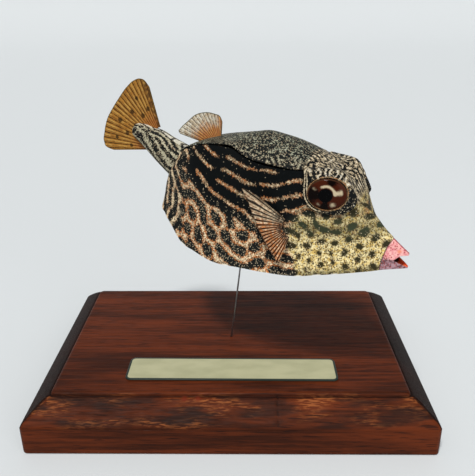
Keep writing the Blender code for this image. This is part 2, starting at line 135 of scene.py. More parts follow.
# Lengthwise curves of the body, from the ridge beside the back down to the belly.
ridge_half = profile(
    (-28.3, 2), (-25, 3.2), (-20, 4.1), (-15, 5.2), (-12, 6.2), (-7, 8.1), (4.6, 11.5), (8.5, 12.8),
    (11.5, 13.8), (20, 14.2), (30, 13.9), (34.6, 12.3), (46.6, 8.6), (49.5, 7.9), (52, 7.0), (54, 5.9),
    (56, 4.8), (58.7, 3.6), (62, 2.3), (66, 1.1), (69.3, 0.3))
ridge_height = profile(
    (-28.3, 63), (-26, 69), (-23, 74.8), (-20, 78.6), (-18, 80.1), (-12, 83), (-4, 84.9), (4.6, 85.5),
    (8.5, 85.3), (11.5, 84.2), (15.6, 82.7), (19.5, 81.7), (25, 81.2), (34.6, 80.8), (42, 80.7),
    (46.6, 80.4), (48, 79.3), (49.6, 76), (51.2, 71.7), (52.8, 67.6), (54.8, 63.7), (57.6, 60.3),
    (61.5, 56.9), (66, 54.4), (69.3, 52.2))
crest_height = profile(
    (-19, 79.4), (-12, 83.1), (-3, 85.8), (3.7, 87.2), (10, 88.4), (16.2, 89.4), (21, 88.7), (26, 87.6),
    (31, 85.9), (35, 84.2))
forehead_height = profile(
    (34.6, 84.3), (38.5, 82.1), (43, 79.2), (46.6, 77), (49.6, 74.9), (51.6, 72), (53.4, 68.8),
    (55.2, 65.4), (58, 62.3), (60, 60.2), (62.4, 58.1), (64.4, 56.4), (66, 55.1), (69.3, 52.5))
crease_half = profile(
    (-28.3, 2.3), (-25, 5.6), (-20, 8), (-14, 10.4), (-8, 12.3), (1, 14.1), (7, 14.6), (17, 14.9),
    (30, 14.8), (34.6, 14.4), (45, 12.9), (52, 10.6), (56, 8.5), (60, 6.1), (62, 4.8), (64.5, 3),
    (66, 2.3), (67.5, 1.7), (69.3, 0.5))
crease_height = profile(
    (-28.3, 61), (-25, 66.5), (-20, 73.5), (-14, 74.5), (-8.5, 70.5), (-4, 66.9), (1, 64.3), (7, 62.7),
    (12, 62.1), (17, 62.5), (25, 63), (34.6, 63), (45, 62), (52, 60), (56, 57), (60, 53), (62, 51.6),
    (64.7, 50.2), (66, 49.9), (69.3, 49.4))
keel_half = profile(
    (-28.3, 2.5), (-27.5, 5.5), (-24.2, 9), (-19.2, 12), (-13.5, 15), (-6, 17.5), (2, 19), (14, 20),
    (24.4, 19.5), (33.6, 18), (43.2, 15.5), (52.8, 12.1), (58, 8.6), (62, 5.3), (65, 3.3), (67, 2.1),
    (68.5, 1.2), (69.3, 0.5))
keel_height = profile(
    (-28.3, 59), (-27.5, 57.5), (-24.2, 54.7), (-19.2, 51.1), (-13.5, 46.9), (-6.1, 45.2), (1.9, 43.4),
    (13.9, 43.7), (24.4, 43.75), (33.6, 43.8), (43.2, 45.2), (52.8, 46.6), (60, 46.85), (65, 46.95),
    (69.3, 47.15))
belly_height = profile(
    (-28.3, 57), (-24, 52.6), (-19, 48.9), (-13.5, 44.8), (-6, 43), (2, 41.4), (14, 41.6), (24, 41.9),
    (33.6, 42.2), (43, 43.8), (53, 45.1), (60, 45.6), (65, 46.2), (69.3, 46.8))


def smoothstep(low, high, value):
    t = np.clip((np.asarray(value, float) - low) / (high - low), 0.0, 1.0)
    return t * t * (3 - 2 * t)


def hump(middle, width, value):
    """A bell from 0 to 1 around a middle value."""
    return np.exp(-((np.asarray(value, float) - middle) / width) ** 2)


def paint(red, green, blue):
    """A linear colour from screen values of 0 to 255."""
    def linear(value):
        share = value / 255
        return share / 12.92 if share <= 0.04045 else ((share + 0.055) / 1.055) ** 2.4
    return (linear(red), linear(green), linear(blue), 1.0)


class Noise:
    """Smooth seeded noise of a plane, about -1 to 1, with features of a given size."""

    def __init__(self, seed, size):
        self.values = np.random.default_rng(seed).uniform(-1, 1, (64, 64))
        self.size = size

    def __call__(self, x, y):
        u = np.asarray(x, float) / self.size
        v = np.asarray(y, float) / self.size
        i = np.floor(u).astype(int)
        j = np.floor(v).astype(int)
        s = smoothstep(0, 1, u - i)
        t = smoothstep(0, 1, v - j)
        at = lambda k, m: self.values[(i + k) % 64, (j + m) % 64]
        low = at(0, 0) * (1 - s) + at(1, 0) * s
        high = at(0, 1) * (1 - s) + at(1, 1) * s
        return low * (1 - t) + high * t


# How markings grow: the widths of their bands of wavelength and direction, the gain that
# sharpens them, the directions told apart, and the least slope that an edge is read by.
BAND = 0.35
SPREAD = 0.6
GAIN = 2.2
DIRECTIONS = 8
LEAST_SLOPE = 0.35


class Markings:
    """A pattern of spots, bands or a maze, grown on a plane and read at any place.

    Noise is sharpened again and again through band filters. Each layer is a wavelength,
    the direction that its marks run in, how far its spots are drawn out along it (0 for
    bands) and its weight on the plane.
    """

    def __init__(self, seed, x_range, y_range, step, layers, bias, rounds, finer=3, hair=0.75):
        x, y = np.meshgrid(np.arange(*x_range, step), np.arange(*y_range, step))
        across = np.fft.fftfreq(x.shape[1], step)[None, :]
        down = np.fft.fftfreq(x.shape[0], step)[:, None]
        radius = np.hypot(across, down)
        bearing = np.arctan2(down, across)
        filters = []
        for wavelength, direction, drawn, weight in layers(x, y):
            if weight.max() < 0.01:
                continue
            along = radius * np.cos(bearing - direction)
            beside = radius * np.sin(bearing - direction)
            if drawn:
                sieve = np.exp(-((np.hypot(along * drawn, beside) * wavelength - 1) / BAND) ** 2)
            else:
                sieve = np.exp(-((radius * wavelength - 1) / BAND) ** 2
                               - (np.cos(bearing - direction) / SPREAD) ** 2)
            filters.append((sieve, weight))
        lean = bias(x, y)
        draws = np.random.default_rng(seed)
        field = draws.standard_normal(x.shape)
        for _ in range(rounds):
            spectrum = np.fft.fft2(field)
            push = sum(weight * np.fft.ifft2(spectrum * sieve).real for sieve, weight in filters)
            field = np.tanh(GAIN * push + lean)
        self.x_start, self.y_start, self.step = x_range[0], y_range[0], step / finer
        self.values = refined(push / 1.1, finer)
        y_slope, x_slope = np.gradient(self.values, self.step)
        self.slope = np.hypot(x_slope, y_slope)
        x, y = np.meshgrid(self.x_start + self.step * np.arange(self.values.shape[1]),
                           self.y_start + self.step * np.arange(self.values.shape[0]))
        white = draws.standard_normal(x.shape)
        away_x = x_slope / (self.slope + 1e-6)
        away_y = y_slope / (self.slope + 1e-6)
        self.hair = sum(self.read(white, x + away_x * far, y + away_y * far)
                        for far in np.linspace(-hair, hair, 7)) / 2.2

    def read(self, values, x, y):
        u = np.clip((x - self.x_start) / self.step, 0, values.shape[1] - 1.001)
        v = np.clip((y - self.y_start) / self.step, 0, values.shape[0] - 1.001)
        i = u.astype(int)
        j = v.astype(int)
        s = u - i
        t = v - j
        low = values[j, i] * (1 - s) + values[j, i + 1] * s
        high = values[j + 1, i] * (1 - s) + values[j + 1, i + 1] * s
        return low * (1 - t) + high * t

    def depth(self, x, y, level=0.0, bristle=0.05):
        """About how deep in the ink a place lies, in millimetres, and below 0 outside."""
        slope = np.hypot(self.read(self.slope, x, y), LEAST_SLOPE)
        return (self.read(self.values, x, y) - level) / slope + bristle * self.read(self.hair, x, y)


def refined(values, finer):
    """The same smooth values on a grid some times as fine."""
    rows, columns = values.shape
    wide = np.zeros((rows * finer, columns * finer), complex)
    top = wide.shape[0] // 2 - rows // 2
    left = wide.shape[1] // 2 - columns // 2
    wide[top:top + rows, left:left + columns] = np.fft.fftshift(np.fft.fft2(values))
    return np.fft.ifft2(np.fft.ifftshift(wide)).real * finer ** 2


def directed(wavelength, direction, drawn, weight):
    """Layers whose marks follow a direction, in radians, that changes over the plane."""
    layers = []
    for number in range(DIRECTIONS):
        middle = math.pi * number / DIRECTIONS
        away = np.abs((direction - middle + math.pi / 2) % math.pi - math.pi / 2)
        share = np.clip(1 - away / (math.pi / DIRECTIONS), 0, 1)
        layers.append((wavelength, middle, drawn, weight * share))
    return layers


# Meshes.

def linked(name, data):
    """A new object of the data, linked to the scene."""
    made = bpy.data.objects.new(name, data)
    bpy.context.scene.collection.objects.link(made)
    return made


def finish_object(name, mesh, material, place, node):
    """Put a mesh in the scene in place of a CAD node."""
    mesh.materials.append(material)
    made = linked(name, mesh)
    made.matrix_world = place
    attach(made, BODY)
    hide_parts(node)


def ring_mesh(name, rings, marks, folds=()):
    """A closed body through rings of points in millimetres, with values on its points.

    The marks are named arrays, which may be spread over the rows and columns of points,
    and the folds are the columns along which the body has a sharp edge.
    """
    rows, columns = rings.shape[:2]
    points = np.concatenate([rings.reshape(-1, 3), [rings[0].mean(0), rings[-1].mean(0)]]) * MM
    row, column = np.meshgrid(np.arange(rows - 1), np.arange(columns), indexing="ij")
    row = row.ravel()
    column = column.ravel()
    after = (column + 1) % columns
    quads = np.stack([row * columns + column, row * columns + after,
                      (row + 1) * columns + after, (row + 1) * columns + column], 1)
    i = np.arange(columns)
    j = (i + 1) % columns
    start_cap = np.stack([j, i, np.full(columns, rows * columns)], 1)
    end_cap = np.stack([i + (rows - 1) * columns, j + (rows - 1) * columns,
                        np.full(columns, rows * columns + 1)], 1)
    mesh = bpy.data.meshes.new(name)
    mesh.from_pydata(points.tolist(), [], quads.tolist() + start_cap.tolist() + end_cap.tolist())
    mesh.update()

    across = column / columns
    near = i / columns
    step = 1 / columns
    low = 0.05 + 0.9 * row / (rows - 1)
    high = 0.05 + 0.9 * (row + 1) / (rows - 1)
    quad_map = np.stack([across, low, across + step, low, across + step, high, across, high], 1)

    def cap_map(first, second, edge, tip):
        edges = np.full(columns, edge)
        return np.stack([first, edges, second, edges, near + step / 2, np.full(columns, tip)], 1)

    maps = [quad_map, cap_map(near + step, near, 0.045, 0.005), cap_map(near, near + step, 0.955, 0.995)]
    layer = mesh.uv_layers.new(name="OFBake")
    layer.uv.foreach_set("vector", np.concatenate([part.ravel() for part in maps]))

    for label, values in marks.items():
        values = np.broadcast_to(values, (rows, columns))
        values = np.concatenate([values.ravel(), [values[0].mean(), values[-1].mean()]])
        mark = mesh.attributes.new(label, "FLOAT", "POINT")
        mark.data.foreach_set("value", values.astype(np.float32))

    volume = sum(face.center.dot(face.normal) * face.area for face in mesh.polygons)
    if volume < 0:
        mesh.flip_normals()
    mesh.shade_smooth()
    ends = np.empty(len(mesh.edges) * 2, int)
    mesh.edges.foreach_get("vertices", ends)
    ends = ends.reshape(-1, 2)
    inside = (ends < rows * columns).all(1)
    same = (ends[:, 0] % columns) == (ends[:, 1] % columns)
    sharp = inside & same & np.isin(ends[:, 0] % columns, list(folds))
    first_or_last = (ends // columns == 0).all(1) | (ends // columns == rows - 1).all(1)
    sharp |= inside & first_or_last
    mesh.attributes.new("sharp_edge", "BOOLEAN", "EDGE").data.foreach_set("value", sharp)
    return mesh


def panel(start, end, steps, inward=0.0):
    """Points from one fold to the next across a panel drawn in by a shallow curve."""
    t = np.linspace(0, 1, steps, endpoint=False)
    half = start[0] + (end[0] - start[0]) * t - inward * 4 * t * (1 - t)
    return half, start[1] + (end[1] - start[1]) * t


def joined(panels, last):
    """One half section from its panels and the last point, as (half, height)."""
    half = np.concatenate([half for half, height in panels] + [last[0]], 1)
    height = np.concatenate([height for half, height in panels] + [last[1]], 1)
    return half, height


def mirrored(x, half, height):
    """Closed rings from the right half's sections."""
    right = np.stack([x, -half, height], -1)
    left = np.stack([x, half, height], -1)[:, -2:0:-1]
    return np.concatenate([right, left], 1)


def mirrored_mesh(name, rings, marks, folds):
    """A body through mirrored rings, with the marks and folds of its right half."""
    columns = rings.shape[1]
    both = {}
    for label, values in marks.items():
        values = np.broadcast_to(values, (len(rings), columns // 2 + 1))
        both[label] = np.concatenate([values, values[:, -2:0:-1]], 1)
    return ring_mesh(name, rings, both, list(folds) + [columns - fold for fold in folds])


def rounded_loop(length, depth, corner, across=210, along=140, round_steps=12):
    """Points round a rectangle with rounded corners, from the far end of its right side."""
    sides = [(1, 1), (-1, 1), (-1, -1), (1, -1)]
    middles = [np.array([x * (length / 2 - corner), y * (depth / 2 - corner)]) for x, y in sides]
    points = []
    for quarter, middle in enumerate(middles):
        angles = math.radians(90 * quarter) + np.linspace(0, math.pi / 2, round_steps + 1)
        arc = corner * np.stack([np.cos(angles), np.sin(angles)], 1)
        start = middle + arc[-1]
        end = middles[(quarter + 1) % 4] + arc[-1]
        steps = along if quarter % 2 else across
        t = np.linspace(0, 1, steps + 1)[1:-1, None]
        points += [middle + arc, start + (end - start) * t]
    return np.concatenate(points)


# Materials.

class Look:
    """A node material on one Principled shader, with places in millimetres.

    The looks lay one colour over another. The defaults of a new look are printed card's.
    """

    def __init__(self, name, roughness=0.55, specular=0.06):
        self.material = bpy.data.materials.new(name)
        self.material.use_nodes = True
        self.tree = self.material.node_tree
        self.shader = self.tree.nodes["Principled BSDF"]
        self.shader.inputs["Specular IOR Level"].default_value = specular
        self.set("Roughness", roughness)
        self.place = self.scaled(self.add("ShaderNodeTexCoord").outputs["Object"], (1 / MM,) * 3)
        self.colour = None

    def add(self, kind, **settings):
        node = self.tree.nodes.new(kind)
        for name, value in settings.items():
            setattr(node, name, value)
        return node

    def feed(self, socket, value):
        if isinstance(value, bpy.types.NodeSocket):
            self.tree.links.new(value, socket)
        else:
            socket.default_value = value

    def set(self, name, value):
        self.feed(self.shader.inputs[name], value)

    def mark(self, name):
        return self.add("ShaderNodeAttribute", attribute_name=name).outputs["Fac"]

    def vector(self, operation, first, second):
        node = self.add("ShaderNodeVectorMath", operation=operation)
        self.feed(node.inputs[0], first)
        self.feed(node.inputs[1], second)
        return node.outputs[0]

    def scaled(self, vector, factors):
        return self.vector("MULTIPLY", vector, factors)

    def math(self, operation, *values):
        node = self.add("ShaderNodeMath", operation=operation)
        for socket, value in zip(node.inputs, values):
            self.feed(socket, value)
        return node.outputs[0]

    def plus(self, first, second):
        return self.math("ADD", first, second)

    def minus(self, first, second):
        return self.math("SUBTRACT", first, second)

    def times(self, first, second):
        return self.math("MULTIPLY", first, second)

    def step(self, value, low, high, start=0.0, end=1.0):
        node = self.add("ShaderNodeMapRange", interpolation_type="SMOOTHSTEP")
        for name, given in (("Value", value), ("From Min", low), ("From Max", high),
                            ("To Min", start), ("To Max", end)):
            self.feed(node.inputs[name], given)
        return node.outputs["Result"]

    def mix(self, share, first, second):
        node = self.add("ShaderNodeMix", data_type="RGBA")
        self.feed(node.inputs[0], share)
        self.feed(node.inputs[6], first)
        self.feed(node.inputs[7], second)
        return node.outputs[2]

    def lay(self, share, colour, strength=1.0):
        """Lay a colour over the look's colour, by a share from 0 to 1."""
        if strength != 1.0:
            share = self.times(share, strength)
        self.colour = self.mix(share, self.colour, colour)

    def noise(self, size, detail=2.0, stretch=(1, 1, 1), offset=0.0, rough=0.5):
        """Noise from about 0 to 1 with features of a size in millimetres."""
        node = self.add("ShaderNodeTexNoise")
        vector = self.scaled(self.place, stretch)
        if offset:
            vector = self.vector("ADD", vector, (offset, offset, offset))
        self.feed(node.inputs["Vector"], vector)
        self.feed(node.inputs["Scale"], 1 / size)
        self.feed(node.inputs["Detail"], detail)
        self.feed(node.inputs["Roughness"], rough)
        return node.outputs["Fac"]

    def patches(self, size, detail, low, high, offset=0.0, stretch=(1, 1, 1)):
        """Patches of a size: noise from 0 at its low value to 1 at its high one."""
        return self.step(self.noise(size, detail, stretch, offset), low, high)

    def wander(self, size, amount, detail=2.0, offset=0.0):
        """Noise about 0, up to about half the amount each way."""
        return self.times(self.minus(self.noise(size, detail, offset=offset), 0.5), amount)

    def dots(self, spacing, size, share):
        """Scattered dots of a size, at a share of the places one spacing apart."""
        cells = self.add("ShaderNodeTexVoronoi")
        self.feed(cells.inputs["Vector"], self.place)
        self.feed(cells.inputs["Scale"], 1 / spacing)
        draw = self.add("ShaderNodeSeparateColor")
        self.feed(draw.inputs[0], cells.outputs["Color"])
        inside = self.step(cells.outputs["Distance"], size * 0.6 / spacing, size * 0.35 / spacing)
        chosen = self.step(draw.outputs[0], self.minus(1.0, share), self.minus(1.02, share))
        return self.times(inside, chosen)

    def bump(self, height, depth, strength):
        node = self.add("ShaderNodeBump")
        self.feed(node.inputs["Height"], height)
        self.feed(node.inputs["Distance"], depth * MM)
        self.feed(node.inputs["Strength"], strength)
        self.set("Normal", node.outputs[0])

    def finished(self, *relief):
        """The material with its colour and, if given, a bump's height, depth and strength."""
        self.set("Base Color", self.colour)
        if relief:
            self.bump(*relief)
        return self.material


INK = paint(8, 11, 12)
CHARCOAL = paint(30, 32, 30)
BROWN_INK = paint(52, 46, 26)
CREAM = paint(232, 212, 176)
TAN = paint(158, 128, 94)
DULL = paint(100, 84, 62)
ORANGE = paint(184, 108, 54)
RUST = paint(80, 50, 30)
YELLOW = paint(214, 182, 104)
PALE_YELLOW = paint(236, 220, 168)
OCHRE = paint(150, 122, 62)
OLIVE = paint(70, 70, 42)
GREY_INK = paint(52, 58, 42)
GREY_CARD = paint(164, 170, 150)
CARD_WHITE = paint(236, 232, 218)


def printed_skin(name):
    """Printed card: ink marks on a cream, orange or yellow ground, with ragged edges.

    Marks on the points: dark is the depth in the ink, warm the share of orange, yellow
    the cheek's ground, dull and grey the tones of the ground elsewhere, faded the
    greyness of the ink, shade the darkness of the ground (olive print in places, and
    painted shade under the chin, along the seam and off the stalk's top), specks and
    flecks the dots on ground and ink, bare the card's white.
    """
    look = Look(name)
    yellow = look.step(look.plus(look.mark("yellow"), look.wander(2.4, 0.6)), 0.25, 0.75)
    ragged = look.plus(look.wander(0.9, 0.7, 3.0), look.wander(0.42, 1.3, 2.0, 31.0))
    dark = look.plus(look.mark("dark"), ragged)
    core = look.plus(look.times(look.step(dark, -0.2, -1.1), 0.6), look.wander(0.6, 3.0, 3.0, 17.0))
    warm = look.plus(look.mark("warm"), look.wander(3.2, 1.3, 2.0, 5.0))

    cheek = look.mix(look.patches(0.9, 4.0, 0.36, 0.56, 3.0), YELLOW, PALE_YELLOW)
    cheek = look.mix(look.times(look.patches(0.7, 4.0, 0.50, 0.62, 43.0), 0.6), cheek, OCHRE)
    blush = look.times(look.step(warm, 0.25, 0.8), look.patches(0.9, 3.0, 0.32, 0.6, 13.0))
    cheek = look.mix(blush, cheek, ORANGE)

    look.colour = look.mix(look.patches(0.5, 3.0, 0.36, 0.54, 41.0), TAN, CREAM)
    look.lay(look.times(look.mark("dull"), look.patches(0.6, 3.0, 0.62, 0.42, 47.0)), DULL)
    look.lay(look.times(look.step(core, 0.55, 0.05), look.step(warm, 0.0, 0.6)), ORANGE)
    look.lay(look.mark("grey"), GREY_CARD)
    look.lay(yellow, cheek)
    rust = look.times(look.step(dark, -0.55, -0.05), look.patches(0.3, 1.0, 0.40, 0.58, 19.0))
    look.lay(look.times(rust, look.step(warm, -0.5, 0.3, 0.25, 0.9)), RUST)
    # Olive over the ground by the shade mark, painted shade under the chin, along the seam and off the
    # stalk's top and olive print elsewhere, and by random smudges.
    smudge = look.times(look.patches(0.8, 4.0, 0.46, 0.68, 23.0), 0.35)
    look.lay(look.plus(look.mark("shade"), smudge), OLIVE)
    specks = look.mark("specks")
    speck_ink = look.mix(look.noise(1.3, 1.0, offset=51.0), CHARCOAL, RUST)
    look.lay(look.dots(0.55, 0.50, specks), speck_ink, 0.9)
    look.lay(look.dots(0.9, 0.62, look.times(specks, 0.6)), speck_ink, 0.85)
    look.lay(look.dots(1.8, 1.0, look.times(specks, yellow)), BROWN_INK, 0.6)

    flecks = look.mark("flecks")
    ink = look.mix(flecks, INK, CHARCOAL)
    ink = look.mix(look.times(yellow, 0.8), ink, BROWN_INK)
    ink = look.mix(look.mark("faded"), ink, GREY_INK)
    ink = look.mix(look.times(look.dots(0.5, 0.36, flecks), 0.5), ink, CREAM)
    soft = look.times(yellow, 0.22)
    look.lay(look.step(dark, look.minus(-0.10, soft), look.plus(soft, 0.12)), ink)
    look.lay(look.mark("bare"), CARD_WHITE)
    return look.finished(look.noise(0.3, 3.0), 0.03, 0.35)


# The markings of the flank and cheek, on the fish seen from its side: along the fish
# and up it, with the belly unfolded downwards and the forehead upwards.

def flank_direction(x, height):
    upper = np.interp(x, [-28, -18, -10, 0, 14, 24, 33, 40], [-84, -66, -42, -27, -20, -6, 8, 15])
    lower = np.interp(x, [-28, -18, -8, 4, 20, 34], [-92, -84, -62, -32, -16, -8])
    share = smoothstep(-4, 3, height - crease_height(x))
    swirl = (26 - 14 * smoothstep(-12, -18, x)) * Noise(71, 5.5)(x, height)
    return np.radians(lower + (upper - lower) * share + swirl)


def flank_zones(x, height):
    """Shares of the spotted cheek, the banded upper flank and the lined rear."""
    border = np.interp(height, [40, 48, 54, 60, 68, 72, 78], [36, 34, 31, 31, 35, 41, 48])
    cheek = smoothstep(-3, 3, x - border)
    upper = smoothstep(-4, 4, height - crease_height(x) + 1) * (1 - cheek)
    rear = smoothstep(-10, -18, x + 3 * Noise(72, 6.0)(x, height)) * (1 - cheek)
    return cheek, upper, rear


def flank_layers(x, height):
    cheek, upper, rear = flank_zones(x, height)
    lower = (1 - upper) * (1 - cheek)
    direction = flank_direction(x, height)
    layers = directed(4.9, direction, 0, upper * 0.6 * (1 - rear))
    layers += directed(4.7, direction, 1.4, (upper * 0.4 + lower) * (1 - rear))
    layers += directed(3.3, direction, 1.7, rear * 0.8)
    layers += [(3.0, 0.0, 1, rear * 0.2), (3.9, 0.0, 1, cheek)]
    return layers


def flank_bias(x, height):
    cheek, upper, rear = flank_zones(x, height)
    lower = (1 - upper) * (1 - cheek) * (1 - rear)
    return -0.45 * lower - 0.25 * rear - 0.55 * cheek


FLANK = Markings(41, (-36, 78), (18, 104), 0.6, flank_layers, flank_bias, 16)


def even_markings(seed, y_end, step, layers, hair):
    """A fine pattern that is alike all over, from (wavelength, drawn, weight) layers."""
    return Markings(seed, (-26, 72), (-26, y_end), step,
                    lambda x, y: [(wavelength, 0.0, drawn, np.full(x.shape, weight))
                                  for wavelength, drawn, weight in layers],
                    lambda x, y: 0 * x, 5, 2, hair)


MAZE = even_markings(7, 26, 0.28, [(1.1, 1, 1.0)], 0.15)
BROW_MAZE = even_markings(9, 30, 0.4, [(1.75, 1, 1.0)], 0.2)
FINE_STREAKS = even_markings(8, 26, 0.28, [(1.05, 0, 0.6), (1.05, 1, 0.4)], 0.15)


def flank_marks(x, flat):
    """Marks of the skin at places of the side. Flat is the height when unfolded."""
    # Painted shade along the seam where the carapace and the head meet.
    seam_shade = smoothstep(0.35, 0.1, np.abs(x - SEAM))
    cheek, upper, rear = flank_zones(x, flat)
    lower = (1 - upper) * (1 - cheek) * (1 - rear)
    above_keel = flat - keel_height(x)
    faded = cheek * hump(61.5, 3.2, flat)
    brow = cheek * smoothstep(63.5, 66.5, flat)
    belly = smoothstep(0.5, -9, above_keel)
    size = Noise(9, 3.5)(x, flat)
    level = -0.62 * upper * (1 - rear) - 0.28 * rear + (-0.16 + 0.14 * size) * lower
    level = level + (0.66 + 0.30 * size - 0.52 * faded - 0.50 * brow) * cheek
    bristle = 0.28 - 0.10 * cheek
    dark = FLANK.depth(x, flat, level, bristle) - 3.0 * belly
    warm = 0.26 + 0.26 * lower - 0.05 * rear - 0.38 * cheek + 0.45 * faded + 0.55 * brow
    # Painted shade: a greenish band on the cheek just above the keel, where the card curves under.
    chin_shade = cheek * smoothstep(2.8, 0.6, above_keel) * smoothstep(-3, 0, above_keel)
    worn = smoothstep(0.35, 0.15, np.abs(above_keel)) * smoothstep(0.45, 0.75, Noise(8, 3.0)(x, 0 * flat))
    return {
        "dark": dark,
        "warm": warm - belly,
        "yellow": cheek * (1 - 0.2 * faded - 0.75 * brow * smoothstep(52, 47, x)),
        "dull": 0.9 * upper * (1 - rear) + 0.10 * lower + 0.10 * rear + 0.3 * brow,
        "grey": 0.05 * rear + 0.3 * belly,
        "faded": cheek * 0.10 + 0.85 * faded,
        "shade": np.maximum(0.65 * chin_shade + 0.62 * faded + 0.40 * brow, 0.3 * seam_shade),
        "specks": 0.40 + 0.30 * lower + 0.25 * cheek - 0.4 * belly,
        "flecks": 0.04 + 0.55 * lower + 0.35 * rear + 0.1 * cheek,
        "bare": worn,
    }


def below_ridge(x, ridge, steps):
    """The flank's and belly's panels below the ridge, and the belly's middle."""
    crease = (crease_half(x), crease_height(x))
    keel = (keel_half(x), keel_height(x))
    bottom = (0 * x, belly_height(x))
    panels = [panel(ridge, crease, steps[0], UPPER_HOLLOW * (ridge[1] - crease[1])),
              panel(crease, keel, steps[1], LOWER_HOLLOW * (crease[1] - keel[1])),
              panel(keel, bottom, steps[2])]
    return panels, bottom


def unfolded(x, half, height, keel_column):
    """Heights of a half section with the belly folded down to go on from the flank."""
    flat = height.copy()
    flat[:, keel_column:] = (keel_height(x) - (keel_half(x) - half))[:, keel_column:]
    return flat


def make_carapace(material):
    """The flanks and belly, with a flat top under the back panel."""
    top_steps, steps = 6, (62, 64, 34)
    x = np.linspace(CARAPACE_REAR, SEAM - SEAM_GAP, 200)[:, None]
    ridge = (ridge_half(x), ridge_height(x) - LID_SEAT)
    panels, bottom = below_ridge(x, ridge, steps)
    half, height = joined([panel((0 * x, ridge[1]), ridge, top_steps)] + panels, bottom)
    x = np.broadcast_to(x, half.shape)
    folds = np.cumsum((top_steps,) + steps[:2])
    flat = unfolded(x, half, height, folds[-1])
    swell = 0.10 * Noise(3, 9.0)(x, flat) * smoothstep(0, 6, half)
    rings = mirrored(x, half + swell, height)
    mesh = mirrored_mesh("carapace_skin", rings, flank_marks(x, flat), folds)
    finish_object("carapace_skin", mesh, material, FISH_PLACE, "carapace")


def lip_line(height):
    """How far ahead the bent lip line is at a height."""
    return np.interp(height, LIP_LINE[:, 1], LIP_LINE[:, 0])


def lip_meeting(section, columns, gap):
    """How far ahead each column of a section meets the lip line, beside a gap."""
    x = np.full((1, columns), LIP_GUESS)
    for _ in range(MEETING_ROUNDS):
        height = section(x)[1]
        x = lip_line(height) + gap
    return x


def fine_marks(x, across, fine, ink, grey, orange=0.0, bare=0.0):
    """Marks of the fine broken lines of the back and brow.

    Fine is the depth in the lines at each place and ink how far they spread. Grey and
    orange tint the card between them, and bare is the share of it that stays white.
    """
    breaks = 0.36 * Noise(14, 0.9)(x, across) + 0.12 * Noise(16, 6.0)(x, across)
    dark = 0.40 * (fine + 1.4 * (ink - breaks))
    return {
        "dark": dark,
        "warm": orange - 0.8,
        "yellow": 0.0,
        "dull": 0.3 * (1 - bare),
        "grey": grey,
        "faded": 0.0,
        "shade": (0.08 + 0.2 * Noise(17, 2.0)(x, across)) * (1 - bare),
        "specks": 0.3,
        "flecks": 0.5 * (1 - bare),
        "bare": bare * smoothstep(-0.15, -0.4, dark) * smoothstep(-0.4, 0.5, Noise(15, 2.0)(x, across)),
    }


def blended(first, second, share):
    return {label: first[label] * (1 - share) + second[label] * share for label in first}


def make_head(material):
    """The head from the seam to the bent lip line."""
    steps = (44, 62, 52, 30)
    front = lip_meeting(lambda x: head_section_at(x, steps), sum(steps) + 1, -LIP_GAP)
    rear = SEAM + SEAM_GAP
    x = rear + (front - rear) * np.linspace(0, 1, 100)[:, None]
    half, height = head_section_at(x, steps)
    folds = np.cumsum((0,) + steps[:3])
    forehead = slice(0, folds[1])
    flat = unfolded(x, half, height, folds[-1])
    flat[:, forehead] = (ridge_height(x) + (ridge_half(x) - half))[:, forehead]
    fine = fine_marks(x, half, BROW_MAZE.depth(x, half), 0.12, 0.2, 0.5, 0.6)
    share = smoothstep(-1.2, 0.2, flat - ridge_height(x))
    share[:, forehead] = 1
    marks = blended(flank_marks(x, flat), fine, share * smoothstep(54, 50, x))
    mesh = mirrored_mesh("head_skin", mirrored(x, half, height), marks, folds)
    finish_object("head_skin", mesh, material, FISH_PLACE, "head")


def head_section_at(x, steps):
    """Section points where each column has a place of its own along the fish."""
    brow = ridge_height(x)
    corners = [(0 * x, forehead_height(x)), (ridge_half(x), brow), (crease_half(x), crease_height(x)),
               (keel_half(x), keel_height(x)), (0 * x, belly_height(x))]
    hollows = (0, UPPER_HOLLOW, LOWER_HOLLOW, 0)
    arched = smoothstep(-0.3, 0.3, forehead_height(x) - brow)
    t = np.concatenate([np.linspace(0, 1, count, endpoint=False) for count in steps] + [[1.0]])
    half = np.empty(x.shape)
    height = np.empty(x.shape)
    for number, hollow in enumerate(hollows):
        (start_half, start_height), (end_half, end_height) = corners[number:number + 2]
        fall = t + (t ** ARCH - t) * arched if number == 0 else t
        inward = hollow * (start_height - end_height) * 4 * t * (1 - t)
        part = slice(sum(steps[:number]), None)
        half[:, part] = (start_half + (end_half - start_half) * t - inward)[:, part]
        height[:, part] = (start_height + (end_height - start_height) * fall)[:, part]
    return half, height


